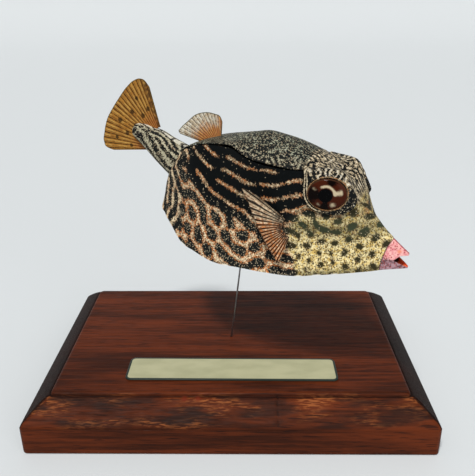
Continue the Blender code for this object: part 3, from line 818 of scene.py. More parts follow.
def make_lid(material):
    """The arched panel of the back, thin card whose rim stands off the flank in places."""
    arch_steps, rim_steps, under_steps = 72, 3, 11
    x = np.linspace(LID_REAR, SEAM - SEAM_GAP, 205)[:, None]
    half_width = ridge_half(x) + LID_OVERHANG
    rim = ridge_height(x)
    rise = np.maximum(crest_height(x) - rim, 0.15)
    t = np.linspace(0, 1, arch_steps)
    half = np.concatenate([half_width * t,
                           np.repeat(half_width, rim_steps, 1),
                           half_width * np.linspace(1, 0, under_steps + 1)[1:]], 1)
    height = np.concatenate([rim + rise * (1 - t ** ARCH),
                             rim - LID_THICKNESS * np.linspace(0.35, 1, rim_steps),
                             np.repeat(rim - LID_THICKNESS, under_steps, 1)], 1)
    x = np.broadcast_to(x, half.shape)
    from_rim = half_width - half
    rim_near = smoothstep(5.5, 1.5, from_rim) * smoothstep(-4, 6, x)
    streaked = smoothstep(4, -8, x)
    fine = MAZE.depth(x, half) * (1 - streaked) + FINE_STREAKS.depth(x, half) * streaked
    fine = fine + (BROW_MAZE.depth(x, half) - fine) * rim_near
    orange = smoothstep(1.4, 0.3, from_rim) * smoothstep(8, 12, x)
    marks = fine_marks(x, half, fine, 0.34, 0.9 - 0.3 * rim_near, orange)
    rings = mirrored(x, half, height)
    ahead, out = rings[..., 0], rings[..., 1]
    lift = sum(rise * hump(middle, width, ahead) for middle, width, rise in RIM_LIFTS)
    rings[..., 2] += lift * smoothstep(0.55, 1.0, -out / ridge_half(ahead))
    mesh = mirrored_mesh("back_panel", rings, marks, [arch_steps - 1, arch_steps + rim_steps - 1])
    finish_object("back_panel", mesh, material, FISH_PLACE, "back")


# The turret's edge on the right side, as (along, out from the middle, height).
TURRET_EDGE = [(35.1, 12.5, 81), (35, 13.1, 77.6), (35.1, 13.7, 73.3), (36.1, 14, 70.3),
               (38.3, 13.9, 67.9), (41.7, 13.4, 66.8), (45.4, 12.5, 66.5), (48.8, 11.2, 67),
               (51, 9.9, 68.2), (52.2, 8.7, 70.2), (51.9, 7.9, 72.2), (50.1, 8, 75.5),
               (47.8, 8.6, 79), (46.1, 9.2, 80.6), (42.5, 10.2, 81.1), (38.5, 11.4, 81.2)]


def closed_curve(points, count):
    """A smooth loop through points, read at even steps."""
    points = np.array(points, float)
    lap = 3
    looped = points[np.arange(-lap, len(points) + lap) % len(points)]
    at = np.linspace(0, len(points), count, endpoint=False) + lap
    return np.stack(smooth_rows(looped, at), 1)


def make_turret(side, name, material):
    """The raised plate round an eye, grooved near its edge and open for the eye."""
    edge = closed_curve([(x, side * out, z) for x, out, z in TURRET_EDGE], 280)
    centre = np.array([EYE_PLACE[0], side * (EYE_PLACE[1] - 0.4), EYE_PLACE[2]])
    outward = np.array([math.sin(EYE_TOE), side * math.cos(EYE_TOE), 0])
    ahead = np.array([math.cos(EYE_TOE), -side * math.sin(EYE_TOE), 0])
    offset = edge - centre
    reach = np.linalg.norm(offset, axis=1)
    along = offset @ ahead / EYE_SIZE[0]
    up = offset[:, 2] / EYE_SIZE[2]
    angle = np.arctan2(up, along)
    eye_share = 1 / np.hypot(along, up)
    hole = eye_share * 0.99
    rear_low = smoothstep(0.35, -0.1, np.cos(angle - math.radians(50)))
    top = smoothstep(0.45, 0.8, np.cos(angle - math.radians(88))) * (1 - rear_low)
    front_low = smoothstep(0.35, 0.75, np.cos(angle + math.radians(45)))

    middle = edge.mean(0)
    rings = [middle + (edge - middle) * shrink - outward * sunk
             for sunk, shrink in ((4.0, 0.55), (0.9, 1.0), (0.3, 1.0))]
    shares = [np.ones(len(edge))] * len(rings)
    for t in np.linspace(0, 1, 60):
        share = 1 + (hole - 1) * t
        inward = reach * (1 - share)
        rise = 0.7 * np.clip(1 - share ** 2, 0, 1) ** 0.8 + 0.28 * hump(0.95, 0.05, t)
        groove = 0.10 * (hump(0.95, 0.22, inward) + hump(1.8, 0.22, inward)) * rear_low
        rings.append(centre + offset * share[:, None] + outward * (rise - groove)[:, None])
        shares.append(share)
    rings.append(rings[-1] - outward * 2.2)
    rings = np.array(rings)
    share = np.array(shares + [hole])

    inward = reach * (1 - share)
    x, z = rings[..., 0], rings[..., 2]
    lines = 0.32 - 0.62 * (hump(0.5, 0.24, inward) + hump(1.4, 0.24, inward))
    stripes = 0.24 * np.cos(27 * angle + 3.2 * Noise(18, 1.6)(x, z)) + 0.10
    marks = fine_marks(x, z - 60, BROW_MAZE.depth(x, z - 60), 0.14, 0.2, 0.45, 0.6)
    dark = marks["dark"]
    for wanted, place in ((stripes, top), (lines, rear_low), (0.3, 0.8 * front_low)):
        dark = dark + (wanted - dark) * place
    bare = np.maximum(marks["bare"], 0.30 * top * smoothstep(0.0, -0.15, dark))
    rim = 0.8 * smoothstep(0.5, 0.3, reach * (share - eye_share))
    marks["dark"] = dark * (1 - rim) - 0.5 * rim
    marks["warm"] = marks["warm"] + 1.3 * rim
    marks["shade"] = marks["shade"] * (1 - rim) + 0.5 * rim
    marks["bare"] = bare * (1 - np.maximum(rim, rear_low))
    mesh = ring_mesh(name + "_plate", rings, marks)
    finish_object(name + "_plate", mesh, material, FISH_PLACE, name)


def eye_look():
    """A glossy dome: red-brown iris with pale curved bands and a black pupil."""
    look = Look("eye_gloss", 0.14, 0.05)
    streak = look.wander(0.7, 0.7, 3.0)
    deep = look.step(look.plus(look.mark("deep"), streak), 0.15, 0.7)
    look.colour = look.mix(deep, paint(62, 25, 12), paint(10, 4, 3))
    look.lay(look.step(look.plus(look.mark("pale"), streak), 0.15, 1.05), paint(190, 174, 144))
    look.lay(look.step(look.mark("rim"), 0.92, 0.99), paint(64, 40, 26))
    look.lay(look.step(look.mark("pupil"), 2.50, 2.25), paint(2, 2, 3))
    return look.finished(look.noise(0.5, 2.0), 0.02, 0.12)


def make_eye(side, name, material):
    """An oval dome. Its marks are laid out on its face as a clock, front to the right."""
    columns, rows, pole = 180, 90, 0.004
    lean = np.linspace(pole, math.pi - pole, rows)[:, None]
    angle = np.linspace(0, 2 * math.pi, columns, endpoint=False)[None, :]
    along = np.sin(lean) * np.cos(angle)
    up = np.sin(lean) * np.sin(angle)
    out = np.broadcast_to(np.cos(lean), along.shape)
    rings = np.stack([along * EYE_SIZE[0], side * out * EYE_SIZE[1], up * EYE_SIZE[2]], -1)
    from_pupil = (along * EYE_SIZE[0] + 0.5, up * EYE_SIZE[2])
    pupil = np.hypot(*from_pupil)
    turn = np.degrees(np.arctan2(from_pupil[1], from_pupil[0]))
    arc = hump(3.05, 0.5, pupil) * smoothstep(-10, 15, turn) * smoothstep(140, 105, turn)
    flare = hump(12, 12, turn) * smoothstep(2.4, 3.0, pupil) * smoothstep(6.2, 5.2, pupil)
    rear = 0.45 * hump(152, 10, turn) * smoothstep(3.0, 3.8, pupil) * smoothstep(5.4, 4.6, pupil)
    low = 0.9 * hump(-52, 14, turn) * hump(4.0, 1.0, pupil)
    low_rear = 0.42 * hump(-126, 16, turn) * hump(3.9, 0.8, pupil)
    deep = hump(180, 38, np.abs(turn)) + hump(-92, 24, turn)
    deep = deep + hump(68, 20, turn) * smoothstep(3.2, 4.2, pupil)
    marks = {"pupil": pupil, "rim": np.hypot(along, up), "pale": arc + flare + rear + low + low_rear,
             "deep": deep * 0.9}
    mesh = ring_mesh(name + "_dome", rings, marks)
    place = Matrix.Translation(Vector((EYE_PLACE[0], side * EYE_PLACE[1], EYE_PLACE[2])) * MM)
    place = FISH_PLACE @ place @ Matrix.Rotation(side * -EYE_TOE, 4, "Z")
    finish_object(name + "_dome", mesh, material, place, name)


def lip_look():
    """Pink card, salmon at the upper lip's bend and greyish purple low down."""
    look = Look("lip_card", specular=0.08)
    look.colour = look.mix(look.patches(0.9, 4.0, 0.38, 0.62), paint(232, 176, 170), paint(212, 132, 136))
    look.lay(look.step(look.plus(look.mark("salmon"), look.wander(1.2, 0.9)), 0.3, 1.0), paint(226, 138, 108))
    greyed = look.mix(look.patches(0.9, 4.0, 0.4, 0.6, 9.0), paint(74, 52, 60), paint(158, 128, 136))
    purple = look.plus(look.mark("purple"), look.wander(0.6, 1.2, 4.0, 5.0))
    look.lay(look.step(purple, 0.25, 0.8), greyed, 0.9)
    look.lay(look.dots(0.6, 0.5, look.mark("spots")), paint(150, 50, 40), 0.85)
    look.lay(look.mark("fold"), paint(112, 26, 30))
    look.lay(look.mark("edge"), paint(60, 34, 30))
    # The inside of the lips is orange card darkened by painted shade, the deep mark: all over under the upper
    # lip and toward the mouth's corner in the lower one.
    look.lay(look.mark("inside"), look.mix(look.mark("deep"), paint(230, 104, 62), paint(20, 7, 7)))
    return look.finished(look.noise(0.3, 2.0), 0.03, 0.3)


def make_lip(upper, name, material):
    """A thin lip with a hollow inside ahead of the mouth's corner."""
    corner_x = MOUTH_CORNER[0]
    outer_steps, inner_steps = 61, 41
    share = np.linspace(0, 1, 70)[:, None]
    u = np.linspace(-1, 1, outer_steps)[None, :]
    rear = lip_meeting(lambda x: lip_section(x, u, upper), outer_steps, LIP_GAP)
    x = rear + (SNOUT_TIP - rear) * share
    outer = np.stack([x, *lip_section(x, u, upper)], -1)
    v = np.linspace(1, -1, inner_steps)[None, :]
    inner_x = np.interp(v[0], u[0], rear[0])[None, :]
    inner_x = inner_x + (SNOUT_TIP - inner_x) * share
    edge_half, edge_height = lip_section(inner_x, np.ones_like(v), upper)
    inner_half, inner_height = lip_section(inner_x, v, upper)
    depth = 0.82 * smoothstep(corner_x - 0.6, corner_x + 1.4, inner_x)
    inner_height = edge_height + (inner_height - edge_height) * depth
    inner = np.stack([inner_x, inner_half * 0.80, inner_height], -1)[:, 1:-1]
    rings = np.concatenate([outer, inner], 1)
    outside = np.arange(rings.shape[1]) < outer_steps
    ahead, height = rings[..., 0], rings[..., 2]
    from_line = ahead - lip_line(height)
    below_fold = forehead_height(ahead) - height
    marks = {"inside": ~outside,
             "edge": 0.75 * smoothstep(0.45, 0.15, from_line) * outside,
             # deep: painted shade inside the mouth, under the upper lip and toward the corner.
             "deep": np.maximum(smoothstep(corner_x + 1.5, corner_x + 0.5, ahead), upper),
             "purple": smoothstep(51.0, 48.8, height + 0.5 * (ahead - corner_x)) + 0.35 * (not upper),
             "salmon": 0.9 * hump(66.2, 1.1, ahead) * hump(52.9, 1.0, height) * upper,
             "fold": 0.8 * smoothstep(0.35, 0.15, below_fold) * outside * upper,
             "spots": 0.3 + 0.5 * smoothstep(2.5, 0.8, from_line)}
    mesh = ring_mesh(name + "_card", rings, marks)
    finish_object(name + "_card", mesh, material, FISH_PLACE, name)


def lip_section(x, u, upper):
    """A lip's outer section: u runs from -1 at the left edge to 1 at the right one."""
    gape, slit = (UPPER_GAPE, MOUTH_SLIT) if upper else (LOWER_GAPE, -MOUTH_SLIT)
    edge = np.interp(x, gape[:, 0], gape[:, 1]) + slit
    if upper:
        middle, corner_half, corner_height = forehead_height(x), ridge_half(x), ridge_height(x)
    else:
        middle, corner_half, corner_height = belly_height(x), keel_half(x), keel_height(x)
    flat = np.clip(np.abs(u) / LIP_FLAT, 0, 1)
    turn = np.clip((np.abs(u) - LIP_FLAT) / (1 - LIP_FLAT), 0, 1)
    half = corner_half * flat + (flank_half(x, edge) - corner_half) * turn
    height = middle + (corner_height - middle) * flat + (edge - corner_height) * turn
    return -np.sign(u) * half, height


PEDUNCLE = np.array([(-20, 73, 7.2, 5.6), (-24, 75.1, 6.5, 5.2), (-28.5, 77.7, 5.8, 4.6),
                     (-32, 80, 5.4, 3.9), (-35.5, 81.9, 4.6, 3.3), (-38.4, 83.3, 4, 2.9),
                     (-40.8, 84.3, 3.3, 2.5), (-42.4, 84.9, 2.4, 2), (-43.2, 85.2, 1.2, 1.2)])
PEDUNCLE_AXIS = math.radians(152)

# The stalk's markings, along it and round it, and its spots as (along, round, size).
STALK = Markings(19, (-12, 40), (-6, 28), 0.45,
                 lambda x, y: directed(2.7, math.radians(-26) + 0.7 * Noise(33, 4.0)(x, y), 1.7, 0 * x + 0.65)
                 + [(2.7, 0.0, 1, 0 * x + 0.35)],
                 lambda x, y: 0 * x, 20, 2, 0.4)
STALK_SPOTS = [(24.0, 4.9, 1.25), (21.6, 3.2, 1.1)]


def make_peduncle(material):
    """The tail stalk, from inside the body to its rounded end, with a painted highlight along its top."""
    at = np.linspace(0, len(PEDUNCLE) - 1, 150)[:, None]
    along, height, half_height, half_width = smooth_rows(PEDUNCLE, at)
    angle = np.linspace(0, 2 * math.pi, 200, endpoint=False)[None, :]
    across = np.sign(np.cos(angle)) * np.abs(np.cos(angle)) ** 0.7 * half_width
    up = np.sign(np.sin(angle)) * np.abs(np.sin(angle)) ** 0.7 * half_height
    upright = np.array([math.sin(PEDUNCLE_AXIS), -math.cos(PEDUNCLE_AXIS)])
    rings = np.stack([along + up * upright[0], across, height + up * upright[1]], -1)
    round_it = np.abs(np.angle(np.exp(1j * (angle - math.pi / 2)))) * half_height * 1.1
    place = np.broadcast_to((along + 20) * -1.1, round_it.shape)
    # Painted highlight: the stalk's top is drawn lighter and whiter, with less dull and shaded tone, as where
    # light falls on it from above.
    top = smoothstep(1.9, 0.6, round_it)
    dark = STALK.depth(place, round_it, -0.24, 0.3) - 0.7 * top
    for spot_place, spot_round, size in STALK_SPOTS:
        away = np.hypot(place - spot_place, round_it - spot_round)
        ring = smoothstep(size + 0.9, size + 0.3, away)
        dark = dark * (1 - ring) + (size - away) * ring
    marks = {"dark": dark,
             "warm": -0.35 + 0.5 * Noise(31, 3.0)(place, round_it),
             "yellow": 0.0,
             "dull": 0.3 * (1 - top),
             "grey": 0.55,
             "faded": 0.0,
             "shade": 0.05 * (1 - top),
             "specks": 0.4 + 0.3 * top,
             "flecks": 0.45,
             "bare": 0.5 * top * (dark < 0)}
    mesh = ring_mesh("peduncle_skin", rings, marks)
    finish_object("peduncle_skin", mesh, material, FISH_PLACE, "peduncle")


# The fins: fans of rays, with the reach against the ray's angle in degrees.
CAUDAL_APEX = (-28.2, 77.8)
CAUDAL_ANGLES = (105, 186.3)
CAUDAL_ROOT = 9.0
CAUDAL_RAYS = 19
caudal_reach = profile(
    (105, 24.6), (108, 27.4), (112, 28.8), (118, 29.3), (126, 29.1), (139, 28.7), (150, 29.1),
    (161, 30.1), (172, 30.7), (180, 31), (184, 29.8), (186.3, 26.4))
CAUDAL_SPOTS = [(0.14, 0.40, 1.0), (0.24, 0.70, 0.9), (0.30, 0.36, 1.1), (0.42, 0.60, 1.1),
                (0.55, 0.38, 0.9), (0.62, 0.72, 1.1), (0.74, 0.48, 1.0), (0.84, 0.70, 0.9),
                (0.92, 0.36, 0.9)]
DORSAL_APEX = (-3.6, 80.6)
DORSAL_ANGLES = (85, 166.5)
DORSAL_ROOT = 3.2
DORSAL_RAYS = 13
dorsal_reach = profile(
    (85, 10.3), (89, 11.8), (101, 13.2), (116, 14.7), (131, 16), (147, 16.9), (160, 18.5),
    (164.5, 18.9), (166.5, 18))
PECTORAL_APEX = (32.5, 61)
PECTORAL_ANGLES = (140, 259.5)
PECTORAL_ROOT = 3.5
PLEATS = 17
pectoral_reach = profile(
    (140, 16.2), (144.7, 21.2), (150, 18.1), (161, 14.7), (175, 12.05), (192, 10.1), (217, 9.2),
    (237, 9.6), (250, 10.5), (256.5, 11.3), (259.5, 10.4))


def fan(apex, reach, angles, root, columns, rows):
    """Places on a flat fan as (along, height), with the marks of its rays and edge."""
    degrees = np.linspace(*angles, columns)[:, None]
    share = np.linspace(0, 1, rows)[None, :] + 0 * degrees
    radius = root + (reach(degrees) - root) * share
    turn = np.radians(degrees)
    spoke = (degrees - angles[0]) / (angles[1] - angles[0]) + 0 * share
    edge = np.minimum(reach(degrees) - radius,
                      radius * math.radians(angles[1] - angles[0]) * np.minimum(spoke, 1 - spoke))
    marks = {"spoke": spoke, "share": share, "edge": edge}
    return apex[0] + radius * np.cos(turn), apex[1] + radius * np.sin(turn), marks


def sheet_rings(middle, half):
    """Rings round a thin upright sheet: one face out and back over the other."""
    out = np.array([0, 1, 0]) * np.asarray(half)[..., None]
    return np.concatenate([middle + out, (middle - out)[:, ::-1]], 1)


def doubled(marks):
    """Marks of one face, given to both faces of a sheet."""
    return {label: np.concatenate([values, values[:, ::-1]], 1) for label, values in marks.items()}


def make_flat_fin(name, node, shape, bow, rays, material, spots=()):
    """A fan in the middle plane with low rays and a slight bow, in millimetres.

    The spots are places and sizes on it: share of the turn, share of the reach, radius.
    """
    x, z, marks = fan(*shape)
    spoke, share, edge = marks["spoke"], marks["share"], marks["edge"]
    marks["spot"] = np.zeros(x.shape)
    for spot_spoke, spot_share, size in spots:
        row = round(spot_spoke * (len(x) - 1))
        column = round(spot_share * (x.shape[1] - 1))
        away = np.hypot(x - x[row, column], z - z[row, column])
        marks["spot"] = np.maximum(marks["spot"], smoothstep(size * 1.5, size * 0.3, away))
    ray = np.cos(spoke * rays * 2 * math.pi)
    half = 0.16 + 0.05 * ray * smoothstep(0, 1.5, edge) - 0.05 * smoothstep(0.8, 0, edge)
    middle = np.stack([x, bow * share * np.sin(spoke * 5) + 0.06 * Noise(23, 5.0)(x, z), z], -1)
    mesh = ring_mesh(name, sheet_rings(middle, half), doubled(marks))
    finish_object(name, mesh, material, FISH_PLACE, node)


def ray_lines(look, rays, width, phase=0.0, size=1.0, low=0.35, high=0.6):
    """Lines along the rays, from 0 between them to 1 on them, a little uneven.

    The lines fade out where a noise of a size in millimetres falls below its limits.
    """
    turn = look.plus(look.times(look.mark("spoke"), float(rays)), look.wander(2.4, 0.25))
    turn = look.math("FRACT", look.plus(turn, phase + 10.0))
    away = look.math("ABSOLUTE", look.minus(turn, 0.5))
    return look.times(look.step(away, width, width * 0.35), look.patches(size, 3.0, low, high, 3.0 + rays))


def caudal_look():
    """Yellow-brown card with dark rays, spots and an olive border."""
    look = Look("tail_fin_card")
    look.colour = look.mix(look.patches(2.6, 3.0, 0.3, 0.7), paint(168, 118, 50), paint(142, 94, 40))
    look.lay(ray_lines(look, CAUDAL_RAYS, 0.22, 0.5, 3.0), paint(188, 148, 78))
    look.lay(look.step(look.mark("share"), 0.45, 0.1), paint(158, 78, 44), 0.5)
    look.lay(ray_lines(look, 2 * CAUDAL_RAYS, 0.2, 0.25, 0.9, 0.36, 0.52), paint(84, 56, 24), 0.7)
    look.lay(ray_lines(look, CAUDAL_RAYS, 0.13, 0.0, 0.8, 0.30, 0.46), paint(38, 26, 12), 0.95)
    spots = look.plus(look.mark("spot"), look.wander(0.7, 0.9, 3.0))
    look.lay(look.step(spots, 0.25, 0.8), paint(46, 32, 16), 0.85)
    upper = look.times(look.step(look.mark("spoke"), 0.13, 0.04), look.patches(1.6, 2.0, 0.3, 0.6))
    look.lay(upper, paint(66, 44, 26), 0.8)
    look.lay(look.step(look.mark("edge"), 0.5, 0.15), paint(66, 60, 26), 0.7)
    return look.finished(ray_lines(look, CAUDAL_RAYS, 0.3), 0.06, 0.5)


def dorsal_look():
    """Grey-white card with orange streaks that rise between thin dark rays."""
    look = Look("dorsal_card")
    look.colour = look.mix(look.patches(1.2, 3.0, 0.35, 0.65), paint(212, 206, 188), paint(186, 168, 140))
    front = look.step(look.mark("spoke"), 0.22, 0.0)
    height = look.plus(look.mark("share"), look.times(look.noise(1.4, 2.0, (1, 1, 0.3), 7.0), -0.5))
    orange = look.math("MAXIMUM", look.step(height, 0.52, 0.12), look.times(front, 0.95))
    look.lay(orange, paint(182, 108, 48), 0.9)
    between = ray_lines(look, DORSAL_RAYS, 0.2, 0.5, 1.4)
    look.lay(look.times(between, look.step(orange, 0.2, 0.8)), paint(208, 160, 92))
    look.lay(ray_lines(look, 2 * DORSAL_RAYS, 0.2, 0.2, 0.8, 0.40, 0.52), paint(96, 62, 34), 0.75)
    look.lay(ray_lines(look, DORSAL_RAYS, 0.12, 0.0, 0.8, 0.32, 0.46), paint(46, 34, 22), 0.9)
    look.lay(look.step(look.mark("edge"), 0.45, 0.15), paint(58, 60, 36), 0.85)
    return look.finished(ray_lines(look, DORSAL_RAYS, 0.3), 0.05, 0.5)


def pectoral_look():
    """Pleats in cream and orange by turns, with dark lines in their folds."""
    look = Look("pectoral_card")
    pale = look.mix(look.patches(0.8, 3.0, 0.35, 0.65), paint(220, 200, 168), paint(172, 142, 112))
    warm = look.mix(look.patches(0.9, 3.0, 0.35, 0.65, 6.0), paint(194, 116, 52), paint(150, 84, 38))
    orange = look.step(look.plus(look.mark("orange"), look.wander(1.6, 0.9)), 0.2, 0.8)
    stripes = ray_lines(look, PLEATS, 0.30, 0.5, 0.9, 0.34, 0.52)
    look.colour = look.mix(look.times(orange, look.minus(1.0, look.times(stripes, 0.8))), pale, warm)
    look.lay(ray_lines(look, 2 * PLEATS, 0.24, 0.25, 0.8, 0.40, 0.52), paint(74, 46, 28), 0.8)
    look.lay(ray_lines(look, PLEATS, 0.30, 0.0, 0.9, 0.24, 0.34), paint(18, 14, 10), 0.97)
    root = look.times(look.step(look.mark("share"), 0.45, 0.1), look.patches(0.6, 3.0, 0.40, 0.52, 2.0))
    look.lay(root, paint(34, 30, 26), 0.85)
    look.lay(look.step(look.mark("edge"), 0.3, 0.1), paint(70, 52, 36), 0.6)
    return look.finished(ray_lines(look, 2 * PLEATS, 0.3), 0.04, 0.4)


def flank_half(x, z):
    """How far the flank lies from the middle at a place seen from the side."""
    crease = crease_height(x)
    down = np.clip((crease - z) / (crease - keel_height(x)), 0, 1)
    up = np.clip((z - crease) / (ridge_height(x) - crease), 0, 1)
    out = crease_half(x)
    return out + (keel_half(x) - out) * down + (ridge_half(x) - out) * up


def make_pectoral(side, name, material):
    """A pleated fan whose root lies close to the flank and whose long edge stands off."""
    x, z, marks = fan(PECTORAL_APEX, pectoral_reach, PECTORAL_ANGLES, PECTORAL_ROOT, 12 * PLEATS, 50)
    spoke, share = marks["spoke"], marks["share"]
    saw = 1 - np.abs(((spoke * PLEATS) % 1) * 2 - 1) * 2
    out = flank_half(x, z) + 0.75 + 3.4 * share ** 1.3 + 0.30 * saw * (0.3 + 0.7 * share)
    marks["orange"] = 0.9 * smoothstep(0.16, 0.36, spoke) + 0.2 * smoothstep(0.6, 0.2, share)
    rings = sheet_rings(np.stack([x, side * out, z], -1), 0.15)
    mesh = ring_mesh(name + "_fan", rings, doubled(marks))
    finish_object(name + "_fan", mesh, material, FISH_PLACE, name)


# The plaque: its side as (inset, height), the rings of the mesh, and varnish drips.
BASE_PROFILE = [(0.9, 0.0), (0.35, 0.12), (0.08, 0.5), (0.0, 1.2), (0.0, 9.9), (0.08, 10.7),
                (0.35, 11.5), (1.0, 12.4), (2.2, 13.5), (5.2, 16.0), (7.6, 17.7), (8.4, 18.15),
                (8.9, 18.3), (9.3, 18.2), (9.5, 18.35), (9.62, 18.9), (9.9, 19.35), (10.5, 19.6)]
SIDE_RINGS = 90
TOP_RINGS = 43
TOP_INSETS = (10.9, 49.5)
DRIPS = (-16.5, -11.6)


def make_base(material):
    """The plaque: a bevelled side, a small step and a level top, worn along the front."""
    insets, heights = smooth_rows(BASE_PROFILE, np.linspace(0, len(BASE_PROFILE) - 1, SIDE_RINGS))
    insets = np.concatenate([insets, np.linspace(*TOP_INSETS, TOP_RINGS)])
    heights = np.concatenate([heights, np.full(TOP_RINGS, BASE_HEIGHT)])
    rings = []
    for inset, height in zip(insets, heights):
        loop = rounded_loop(BASE_LENGTH - 2 * inset, BASE_DEPTH - 2 * inset,
                            min(BASE_CORNER, (BASE_DEPTH / 2 - inset) * 0.9))
        rings.append(np.column_stack([loop, np.full(len(loop), height)]))
    rings = np.array(rings)
    x, y, z = rings[..., 0], rings[..., 1], rings[..., 2]
    inset = insets[:, None]
    bevel = smoothstep(10.6, 12.6, z) * smoothstep(10.4, 9.2, inset)
    front = smoothstep(-36, -42, y) * (np.abs(x) < BASE_LENGTH / 2 - inset)
    furrows = Noise(51, 1.0)(x * 0.09, (y + z) * 1.6) + 0.6 * Noise(52, 1.0)(x * 0.16, (y + z) * 3.1)
    dents = smoothstep(0.35, 0.9, Noise(53, 5.0)(x * 0.5, y + z))
    # The front bevel: worn and dented, and where the look lays tan that is partly a painted highlight.
    wear_and_highlight = bevel * front
    sink = 0.05 * np.clip(-furrows, 0, 1.5) * (0.5 + wear_and_highlight) + 0.22 * dents * wear_and_highlight
    patch = 0.3 * hump(17.2, 0.22, x) * front * smoothstep(11.6, 12.6, z) * smoothstep(14.5, 12.5, inset)
    drips = 0.5 * sum(hump(place, 1.0, x) for place in DRIPS) * hump(18.05, 0.35, z) * front
    rings[..., 2] = z - (sink + patch) * smoothstep(0.5, 11, z) + drips * 0.6
    rings[..., 1] = y + np.where(front > 0.5, 0.5 * patch - 0.3 * drips, 0.0)
    marks = {"wear_and_highlight": wear_and_highlight,
             "ends": smoothstep(9.9, 8.8, inset) * smoothstep(0.6, 0.2, BASE_LENGTH / 2 - inset - np.abs(x)),
             "line": np.clip(hump(9.25, 0.35, inset) + patch * 2.5, 0, 1),
             "drip": np.clip(drips * 2, 0, 1)}
    mesh = ring_mesh("hardwood_plaque", rings, marks)
    finish_object("hardwood_plaque", mesh, material, Matrix.Identity(4), "stand_base")


def wood_look():
    """Stained hardwood under worn wax, its grain along X."""
    look = Look("stained_hardwood", 0.42, 0.08)
    broad = look.noise(9.0, 3.0, (0.10, 1, 1))
    grain = look.noise(1.3, 4.0, (0.05, 1, 1), rough=0.6)
    fine = look.noise(0.35, 3.0, (0.08, 1, 1), offset=11.0)
    tone = look.plus(look.times(broad, 0.5), look.times(grain, 0.5))
    look.colour = look.mix(look.step(tone, 0.36, 0.64), paint(50, 20, 7), paint(94, 40, 15))
    bevel = look.mark("wear_and_highlight")
    # Tan on the front bevel: lighter wood where the stain is worn, and partly a painted highlight along the
    # worn edges.
    worn_tan_and_highlight = look.times(look.patches(7.0, 3.0, 0.44, 0.64, 3.0, (0.35, 1, 1)),
                     look.patches(0.5, 4.0, 0.44, 0.60, 7.0, (0.16, 1, 1)))
    look.lay(look.times(bevel, worn_tan_and_highlight), paint(148, 84, 42), 0.8)
    sooty = look.patches(5.0, 5.0, 0.46, 0.60, 9.0, (0.25, 1, 1))
    look.lay(look.times(bevel, sooty), paint(30, 18, 14), 0.7)
    look.lay(look.patches(0.5, 3.0, 0.44, 0.34, 21.0, (0.06, 1, 1)), paint(26, 10, 6), 0.7)
    look.lay(look.mark("ends"), paint(16, 8, 6), 0.9)
    look.lay(look.mark("line"), paint(14, 6, 5), 0.8)
    look.lay(look.mark("drip"), paint(100, 34, 18))
    rough = look.step(fine, 0.3, 0.7, 0.38, 0.55)
    look.set("Roughness", look.plus(rough, look.times(look.plus(bevel, look.mark("ends")), 0.15)))
    relief = look.plus(look.times(grain, 0.6), look.times(fine, 0.5))
    return look.finished(relief, 0.15, 0.7)


def make_plate(material):
    """The label: a thin plate with a softened edge and a printed border line."""
    steps = [(0.0, 0.0), (0.0, 0.35), (0.06, 0.46)]
    steps += [(0.16 + 0.25 * k, PLATE_THICKNESS) for k in range(27)]
    rings = []
    for inset, height in steps:
        loop = rounded_loop(PLATE_LENGTH - 2 * inset, PLATE_DEPTH - 2 * inset,
                            max(PLATE_CORNER - inset, 0.25), 160, 40, 14)
        rings.append(np.column_stack([loop, np.full(len(loop), height)]))
    insets = np.array(steps)[:, :1]
    mesh = ring_mesh("label_plate", np.array(rings), {"inset": insets})
    place = on_base(PLATE_CENTRE, PLATE_LIFT) @ Matrix.Rotation(PLATE_TURN, 4, "Z")
    finish_object("label_plate", mesh, material, place, "stand_plate")


def plate_look():
    """Beige plastic with a dark border line a little in from its edge."""
    look = Look("label_plate", 0.35, 0.3)
    tone = look.patches(5.0, 3.0, 0.3, 0.7, stretch=(0.4, 1, 1))
    look.colour = look.mix(tone, paint(158, 157, 124), paint(172, 170, 136))
    look.lay(look.step(look.mark("inset"), 0.86, 0.76), paint(28, 40, 34))
    look.set("Roughness", look.step(look.noise(0.8, 3.0), 0.3, 0.7, 0.3, 0.42))
    return look.finished(look.noise(0.4, 2.0), 0.01, 0.3)


def make_wire(material):
    """The drawn steel wire, with a bead of glue where it enters the wood."""
    along = np.linspace(-WIRE_SUNK, WIRE_TOP, 120)[:, None]
    angle = np.linspace(0, 2 * math.pi, 24, endpoint=False)[None, :]
    radius = WIRE_RADIUS + 0.28 * hump(0.1, 0.35, along) + 0.015 * Noise(61, 4.0)(along, 0)
    bend = 0.12 * np.sin(along / 48 * math.pi)
    rings = np.stack([radius * np.cos(angle) + bend, radius * np.sin(angle), along + 0 * angle], -1)
    mesh = ring_mesh("steel_wire", rings, {"foot": hump(0.0, 0.9, along)})
    place = on_base(WIRE_FOOT) @ Matrix.Rotation(WIRE_LEAN, 4, "Y")
    finish_object("steel_wire", mesh, material, place, "stand_wire")


def wire_look():
    """Bright steel, stained where the glue holds it."""
    look = Look("drawn_steel", 0.3, 0.5)
    look.set("Metallic", 1.0)
    scale = look.noise(1.5, 3.0, (3, 3, 0.3))
    look.colour = look.mix(look.step(scale, 0.35, 0.7), paint(150, 148, 150), paint(96, 92, 92))
    look.lay(look.mark("foot"), paint(90, 60, 48), 0.8)
    look.set("Roughness", look.step(scale, 0.3, 0.7, 0.25, 0.45))
    return look.finished()


# The scene round the model.

CAMERA_FOCUS = 579.5
CAMERA_YAW = math.radians(-0.87)
CAMERA_TILT = math.radians(22.45)
CAMERA_ROLL = math.radians(0.42)
CAMERA_PLACE = (5.8, -213.7, 152.4)
IMAGE_SIZE = (475, 476)
SENSOR = 36.0

# The lights, in metres: the direction that the key comes from and the fill's place.
KEY_FROM = (-0.20, -0.42, 0.88)
FILL_PLACE = (0.50, -0.75, 0.30)
FILL_TARGET = (0.0, 0.0, 0.06)


